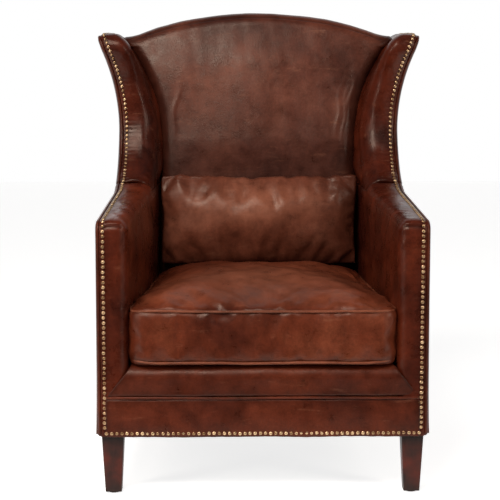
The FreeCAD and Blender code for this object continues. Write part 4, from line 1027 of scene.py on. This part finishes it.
def make_deck():
    y = np.linspace(DECK_FRONT, 0.230, 90)[:, None]
    half = inner_side(y, 0.3) - 0.001
    x = np.linspace(-1, 1, 110) * half
    edge = np.minimum(half - np.abs(x), y - DECK_FRONT)
    z = 0.3008 + 0.0034 * smooth_step(edge, 0.0, 0.06) - 0.6 * tuck(edge, 0.005)
    grid = np.stack(np.broadcast_arrays(x, y, z), axis=-1)
    grid[..., 2] += 0.0005 * waves(grid[..., :2], 0.09, 111)
    return leather_sheet("seat_deck_canvas", grid, flip=True, depth=0.003)


def make_dust_cover():
    """A sheet with a notch for each leg. Also returned: its area."""
    y = np.linspace(-0.391, 0.318, 60)[:, None]
    a = np.linspace(-1, 1, 70)
    x = a * (outer_side(y, 0.14) - 0.010)
    sag = 0.0012 * (1 - a**2) * (1 - ((y + 0.036) / 0.355) ** 2)
    grid = np.stack(np.broadcast_arrays(x, y, 0.1412 - sag), axis=-1)
    faces = grid_faces(60, 70)
    middle = grid.reshape(-1, 3)[faces].mean(axis=1)[:, :2]
    clear = np.ones(len(faces), dtype=bool)
    for leg in ("front_leg_right", "front_leg_left", "rear_leg_right", "rear_leg_left"):
        low, high = np.array(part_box(leg))[:, :2]
        centre = (low + high) / 2
        if "rear" in leg:
            centre[1] = low[1] + REAR_LEG_MIDDLE
        clear &= (np.abs(middle - centre) > LEG_TOP / 2).any(axis=1)
    item = thicken(new_mesh("dust_cover_cloth", grid.reshape(-1, 3), faces[clear]), 0.0008)
    return item, sum(face.area for face in item.data.polygons)


deck = make_deck()
dust_cover, dust_area = make_dust_cover()
print("dust cover of", round(dust_area, 3), "square metres")

# %% [markdown]
# Materials. The leather is a waxed, pulled-up hide: a reddish brown with painted shade in every tuck, seam,
# crease and hollow, and paler where the hide is rubbed and where a highlight is painted. The colour comes
# from noise at three scales and from two attributes of the meshes, one of painted shade and one of wear with
# a painted highlight. Its gloss is soft and uneven. All patterns read Object coordinates, so they go on over
# the seams at the right size. Colours are written as 0 to 255, as in a picture.

# %% Nodes by name
def plug(tree, inputs, values):
    """Link each socket to the output given for it, or set it to the value."""
    for socket, source in values.items():
        if isinstance(source, bpy.types.NodeSocket):
            tree.links.new(source, inputs[socket])
        else:
            inputs[socket].default_value = source


def material(name):
    """A material with a function that adds nodes and one that fills in the sockets of its shader."""
    item = bpy.data.materials.new(name)
    item.use_nodes = True
    tree = item.node_tree

    def node(kind, inputs=None, **values):
        made = tree.nodes.new("ShaderNode" + kind)
        for key, value in values.items():
            setattr(made, key, value)
        plug(tree, made.inputs, inputs or {})
        return made

    def shade(**values):
        values = {key.replace("_", " "): value for key, value in values.items()}
        plug(tree, tree.nodes["Principled BSDF"].inputs, values)

    return item, node, shade


def noise(node, place, scale, detail, roughness=0.5, distortion=0.0):
    values = {"Scale": scale, "Detail": detail, "Roughness": roughness, "Distortion": distortion}
    return node("TexNoise", {"Vector": place, **values}).outputs["Fac"]


def maths(node, kind, first, second):
    return node("Math", {0: first, 1: second}, operation=kind).outputs[0]


def ranged(node, source, low, high, to_low=0.0, to_high=1.0):
    values = {"From Min": low, "From Max": high, "To Min": to_low, "To Max": to_high}
    return node("MapRange", {"Value": source, **values}).outputs["Result"]


def relief(node, height, strength, distance, **below):
    values = {"Height": height, "Strength": strength, "Distance": distance, **below}
    return node("Bump", values).outputs["Normal"]


def linear(colour, scale=1.0):
    """A colour given as 0 to 255 in a picture, turned to the linear values that a shader takes."""
    picture = np.array(colour) / 255
    value = np.where(picture < 0.04045, picture / 12.92, ((picture + 0.055) / 1.055) ** 2.4)
    return (*(float(part) for part in value * scale), 1)


def ramp(node, source, *stops):
    """A colour ramp from (place, colour) stops, or from numbers where the colour is a grey."""
    made = node("ValToRGB", {"Fac": source})
    elements = made.color_ramp.elements
    while len(elements) < len(stops):
        elements.new(0.5)
    for element, (place, colour) in zip(elements, stops):
        element.position = place
        element.color = colour if isinstance(colour, tuple) else (colour, colour, colour, 1)
    return made.outputs["Color"]


def mixed(node, kind, share, first, second):
    return node("MixRGB", {"Fac": share, "Color1": first, "Color2": second}, blend_type=kind).outputs["Color"]


print("mid leather", [round(value, 3) for value in linear((104, 47, 31))])

# %% Leather
def leather(name, light, middle, dark, gloss):
    item, node, shade = material(name)
    place = node("TexCoord").outputs["Object"]
    cloud = noise(node, place, 5.5, 5.0, 0.60, 0.25)
    blotch = noise(node, place, 24.0, 7.0, 0.66, 0.15)
    speck = noise(node, place, 190.0, 3.0, 0.6)
    base = ramp(node, cloud, (0.30, linear(dark)), (0.52, linear(middle)), (0.74, linear(light)))
    fine = ramp(node, blotch, (0.28, 0.42), (0.50, 0.88), (0.72, 1.26))
    colour = mixed(node, "MULTIPLY", 0.78, base, fine)
    colour = mixed(node, "MULTIPLY", 0.55, colour, ramp(node, speck, (0.3, 0.72), (0.7, 1.15)))
    stretch = node("Mapping", {"Vector": place, "Rotation": (0.35, 0.2, 0.5), "Scale": (14.0, 85.0, 60.0)})
    wear_and_sheen = ramp(node, noise(node, stretch.outputs["Vector"], 1.0, 5.0, 0.7), (0.60, 0.0), (0.72, 1.0))
    colour = mixed(node, "MIX", maths(node, "MULTIPLY", wear_and_sheen, 0.16), colour, linear((168, 112, 84)))
    # Wear and painted highlight: where each mesh's attribute for them is high, the colour turns paler.
    wear_and_painted_highlight = maths(node, "MULTIPLY", node("Attribute", attribute_name="wear_and_painted_highlight").outputs["Fac"], 0.42)
    colour = mixed(node, "MIX", maths(node, "MULTIPLY", wear_and_painted_highlight, fine), colour, linear((150, 92, 68)))
    # Painted shade: each mesh's attribute of painted shade darkens the colour in tucks, seams, creases, gaps
    # and shaded parts.
    painted_shade = maths(node, "MULTIPLY", node("Attribute", attribute_name="painted_shade").outputs["Fac"], 0.62)
    colour = mixed(node, "MULTIPLY", painted_shade, colour, linear((120, 92, 84)))
    pebble = node("TexVoronoi", {"Vector": place, "Scale": 520.0}, feature="SMOOTH_F1").outputs["Distance"]
    grain = relief(node, pebble, 0.35, 0.0006)
    folds = relief(node, noise(node, place, 30.0, 5.0, 0.55, 0.3), 0.20, 0.0036, Normal=grain)
    rough = ranged(node, blotch, 0.3, 0.7, gloss - 0.09, gloss + 0.12)
    shade(Base_Color=colour, Roughness=rough, Normal=folds,
          Specular_IOR_Level=0.26, Specular_Tint=(1.0, 0.80, 0.68, 1))
    return item


# One leather in tones set piece by piece to how each part looks lit, so they carry painted light: the back is
# greyer for a painted reflection, the pillow and seat paler for painted highlights, the wing hide, also on
# the shaded inside arms, darker for painted shade.
HIDES = {
    "back": ((108, 60, 45), (88, 44, 32), (58, 25, 18), 0.34),
    "wing": ((110, 46, 25), (84, 31, 16), (46, 13, 7), 0.30),
    "front": ((106, 46, 26), (86, 34, 18), (58, 20, 11), 0.34),
    "seat": ((128, 66, 43), (102, 44, 25), (66, 24, 13), 0.33),
    "pillow": ((134, 82, 63), (104, 54, 38), (62, 27, 18), 0.33),
    "outside": ((100, 42, 23), (80, 30, 15), (52, 18, 9), 0.36),
}
hides = {name: leather("leather_" + name, *values) for name, values in HIDES.items()}
print(len(hides), "hides of one leather")

# %% [markdown]
# Wood, brass, steel, nylon and cloth. The legs are stained almost black, with a reddish sheen painted across
# the middle of each face. The frame inside is plain beech. Cloths show their weave.

# %% Wood
def wood(name, light, dark, stretch, wear_and_sheen=None, rough=0.62):
    item, node, shade = material(name)
    place = node("TexCoord").outputs["Object"]
    long = node("Mapping", {"Vector": place, "Scale": stretch}).outputs["Vector"]
    grain = noise(node, long, 1.0, 7.0, 0.65, 0.6)
    colour = ramp(node, grain, (0.32, linear(dark)), (0.68, linear(light)))
    # Painted sheen: a reddish band across the middle height of each leg, broken into patches.
    if wear_and_sheen:
        height = node("SeparateXYZ", {"Vector": place}).outputs["Z"]
        height = ranged(node, height, 0.0, 0.14)
        middle = ramp(node, height, (0.02, 0.0), (0.30, 0.75), (0.62, 1.0), (0.95, 0.0))
        patch = ramp(node, noise(node, place, 26.0, 4.0), (0.35, 0.10), (0.66, 0.75))
        colour = mixed(node, "MIX", maths(node, "MULTIPLY", middle, patch), colour, linear(wear_and_sheen))
    fibres = relief(node, grain, 0.25, 0.0006)
    shade(Base_Color=colour, Roughness=rough, Specular_IOR_Level=0.22, Normal=fibres)
    return item


BEECH = (205, 165, 120), (176, 134, 92)
# The legs' reddish colour (104, 38, 24) is the painted sheen.
leg_wood = wood("dark_leg_wood", (46, 30, 24), (24, 15, 12), (70.0, 70.0, 9.0), (104, 38, 24), 0.38)
frame_wood = wood("beech", *BEECH, (60.0, 60.0, 6.0))
cross_wood = wood("beech_across", *BEECH, (6.0, 60.0, 60.0))
print("woods:", leg_wood.name, frame_wood.name, cross_wood.name)

# %% Brass, steel and nylon
def metal(name, bright, dull, rough, speckle):
    item, node, shade = material(name)
    stain = noise(node, node("TexCoord").outputs["Object"], speckle, 4.0, 0.7)
    age = maths(node, "MULTIPLY", node("Attribute", attribute_name="age").outputs["Fac"], 0.35)
    colour = ramp(node, maths(node, "ADD", stain, age), (0.42, linear(bright)), (0.85, linear(dull)))
    uneven = ranged(node, stain, 0.0, 1.0, rough - 0.08, rough + 0.14)
    shade(Base_Color=colour, Metallic=1.0, Roughness=uneven)
    return item


def moulded(name, colour, rough, grit):
    item, node, shade = material(name)
    fine = noise(node, node("TexCoord").outputs["Object"], grit, 3.0)
    shade(Base_Color=ramp(node, fine, (0.3, linear(colour, 0.8)), (0.7, linear(colour))), Roughness=rough,
          Normal=relief(node, fine, 0.2, 0.0003))
    return item


brass = metal("aged_brass", (224, 190, 148), (126, 94, 64), 0.30, 380.0)
steel = metal("zinc_steel", (196, 196, 192), (150, 150, 148), 0.36, 60.0)
nylon = moulded("brown_nylon", (62, 48, 40), 0.48, 900.0)
print("small parts:", brass.name, steel.name, nylon.name)

# %% Woven cloths
def woven(name, thread, gap, pitch):
    """Two sets of waves at right angles make over-and-under threads, finer with a smaller pitch."""
    item, node, shade = material(name)
    place = node("TexCoord").outputs["Object"]
    values = {"Vector": place, "Scale": 0.5 / pitch, "Distortion": 0.4, "Detail": 1.0}
    warp, weft = (node("TexWave", values, bands_direction=way).outputs["Fac"] for way in "XY")
    height = maths(node, "MAXIMUM", warp, weft)
    colour = mixed(node, "MULTIPLY", 0.6, ramp(node, height, (0.3, linear(gap)), (0.9, linear(thread))),
                   ramp(node, noise(node, place, 120.0, 4.0), (0.3, 0.75), (0.7, 1.1)))
    shade(Base_Color=colour, Roughness=0.9, Sheen_Weight=0.2, Normal=relief(node, height, 0.5, pitch / 4))
    return item


canvas = woven("deck_canvas", (92, 74, 60), (48, 38, 31), 0.0012)
cambric = woven("black_cambric", (40, 39, 40), (16, 16, 17), 0.0009)
webbing = woven("jute_webbing", (190, 160, 112), (118, 92, 58), 0.0024)
print("cloths:", canvas.name, cambric.name, webbing.name)

# %% [markdown]
# Every piece now gets its finish, the body that carries it and the plain solids that it stands for.
# The two loose cushions ride on bodies of their own, because they can be drawn out. Nodes whose shape
# is already right, such as legs, rails and webbing, only get a material.

# %% Dress the chair
def dressed(item, finish, *nodes, body="frame", slot="cover_leather", fill=None):
    """Give a piece its material, its body and the nodes that it stands for, which are hidden. slot and fill
    are not used.
    """
    item.data.materials.clear()
    item.data.materials.append(finish)
    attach(item, body)
    if nodes:
        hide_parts(*nodes)


for label, _ in left_and_right:
    dressed(wings[label], hides["wing"], "inside_wing_" + label, fill=0.85)
    dressed(arms[label], hides["wing"], "inside_arm_" + label, "arm_front_" + label, fill=0.9)
    dressed(outside["arm_" + label], hides["outside"], "outside_arm_" + label, fill=1.0)
    dressed(outside["wing_" + label], hides["outside"], "outside_wing_" + label, fill=1.0)
dressed(inside_back, hides["back"], "inside_back", fill=0.9)
dressed(outside_back, hides["outside"], "outside_back", fill=1.0)
dressed(lip, hides["front"], "front_lip_band", fill=0.9)
dressed(rail, hides["front"], "front_rail_panel", fill=1.0)
dressed(front_welt, hides["front"], "front_welt")
seat_nodes, pillow_nodes = ([body + "_cover", body + "_core"] for body in ("seat_cushion", "lumbar_cushion"))
dressed(seat_cushion, hides["seat"], *seat_nodes, body="seat_cushion", fill=0.75)
for welt in seat_welts:
    dressed(welt, hides["seat"], body="seat_cushion")
dressed(lumbar_cushion, hides["pillow"], *pillow_nodes, body="lumbar_cushion", fill=0.6)
dressed(nails, brass, slot="fitting_steel")
dressed(deck, canvas, "seat_deck", slot="deck_cloth", fill=0.9)
dressed(dust_cover, cambric, "dust_cover", slot="dust_cloth")

FINISHES = {
    "leg_bolts": steel, "leg_plates": steel, "glide": nylon, "_leg_": leg_wood, "webbing": webbing,
    "_rail": cross_wood,
}
for name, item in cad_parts.items():
    finish = next((choice for part, choice in FINISHES.items() if part in name), frame_wood)
    for slot in item.material_slots:
        slot.material = finish
print("finishes on", len(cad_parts), "nodes of the frame")

# %% [markdown]
# The picture has a pure white ground. The floor and the backdrop are pale surfaces that also look white
# to the camera and in reflections, so no extra light falls on the chair to get there. The lamps are
# large and soft: one above the front, one at each side for the long highlights on the rolled wings.

# %% Stage and light
def stage_material(name, glow):
    """A pale surface that looks white to the camera and in reflections. Below a glow of 1 it also shows
    the shadows that fall on it."""
    item, node, shade = material(name)
    shade(Base_Color=(0.8, 0.8, 0.8, 1), Roughness=0.9)
    tree = item.node_tree
    pale = tree.nodes["Principled BSDF"].outputs[0]
    ray = node("LightPath").outputs
    seen = maths(node, "MAXIMUM", ray["Is Camera Ray"], ray["Is Glossy Ray"])
    seen = maths(node, "MAXIMUM", seen, ray["Is Transmission Ray"])
    white = node("Emission", {"Color": (1, 1, 1, 1), "Strength": glow}).outputs[0]
    if glow < 1:
        white = node("AddShader", {0: pale, 1: white}).outputs[0]
    mix = node("MixShader", {"Fac": seen, 1: pale, 2: white}).outputs[0]
    plug(tree, tree.nodes["Material Output"].inputs, {"Surface": mix})
    return item


def flat_stage(name, corners, finish):
    item = new_mesh(name, np.array(corners, dtype=float), np.array([[0, 1, 2, 3]]))
    item.data.materials.append(finish)


floor_corners = [(-9, -0.9, 0), (9, -0.9, 0), (9, 8, 0), (-9, 8, 0)]
flat_stage("floor", floor_corners, stage_material("pale_floor", 0.78))
backdrop_corners = [(-16, 8, -1), (16, 8, -1), (16, 8, 12), (-16, 8, 12)]
flat_stage("backdrop", backdrop_corners, stage_material("white_backdrop", 1.0))

world = bpy.data.worlds.new("studio")
scene.world = world
world.use_nodes = True
tree, nodes = world.node_tree, world.node_tree.nodes
for kind in ("Background", "LightPath", "MixShader"):
    nodes.new("ShaderNode" + kind).name = "seen_" + kind
plug(tree, nodes["Background"].inputs, {"Color": (1, 1, 1, 1), "Strength": 0.16})
plug(tree, nodes["seen_Background"].inputs, {"Color": (1, 1, 1, 1)})
plug(tree, nodes["seen_MixShader"].inputs, {
    "Fac": nodes["seen_LightPath"].outputs["Is Camera Ray"],
    1: nodes["Background"].outputs[0],
    2: nodes["seen_Background"].outputs[0],
})
plug(tree, nodes["World Output"].inputs, {"Surface": nodes["seen_MixShader"].outputs[0]})


def soft_box(name, place, aim, width, height, power):
    lamp = bpy.data.objects.new(name, bpy.data.lights.new(name, "AREA"))
    lamp.data.shape = "RECTANGLE"
    lamp.data.size, lamp.data.size_y, lamp.data.energy = width, height, power
    lamp.data.color = (1.0, 0.935, 0.87)
    lamp.location = place
    lamp.rotation_euler = (Vector(aim) - Vector(place)).to_track_quat("-Z", "Y").to_euler()
    scene.collection.objects.link(lamp)


soft_box("lamp_above", (-0.9, -2.3, 2.9), (0, -0.1, 0.6), 1.5, 1.1, 84)
soft_box("lamp_left", (-2.3, -1.9, 1.5), (0, 0, 0.7), 0.45, 1.9, 30)
soft_box("lamp_right", (2.3, -1.9, 1.5), (0, 0, 0.7), 0.45, 1.9, 27)

# %% Finish
scene.view_settings.view_transform = "Standard"
bpy.context.view_layer.update()
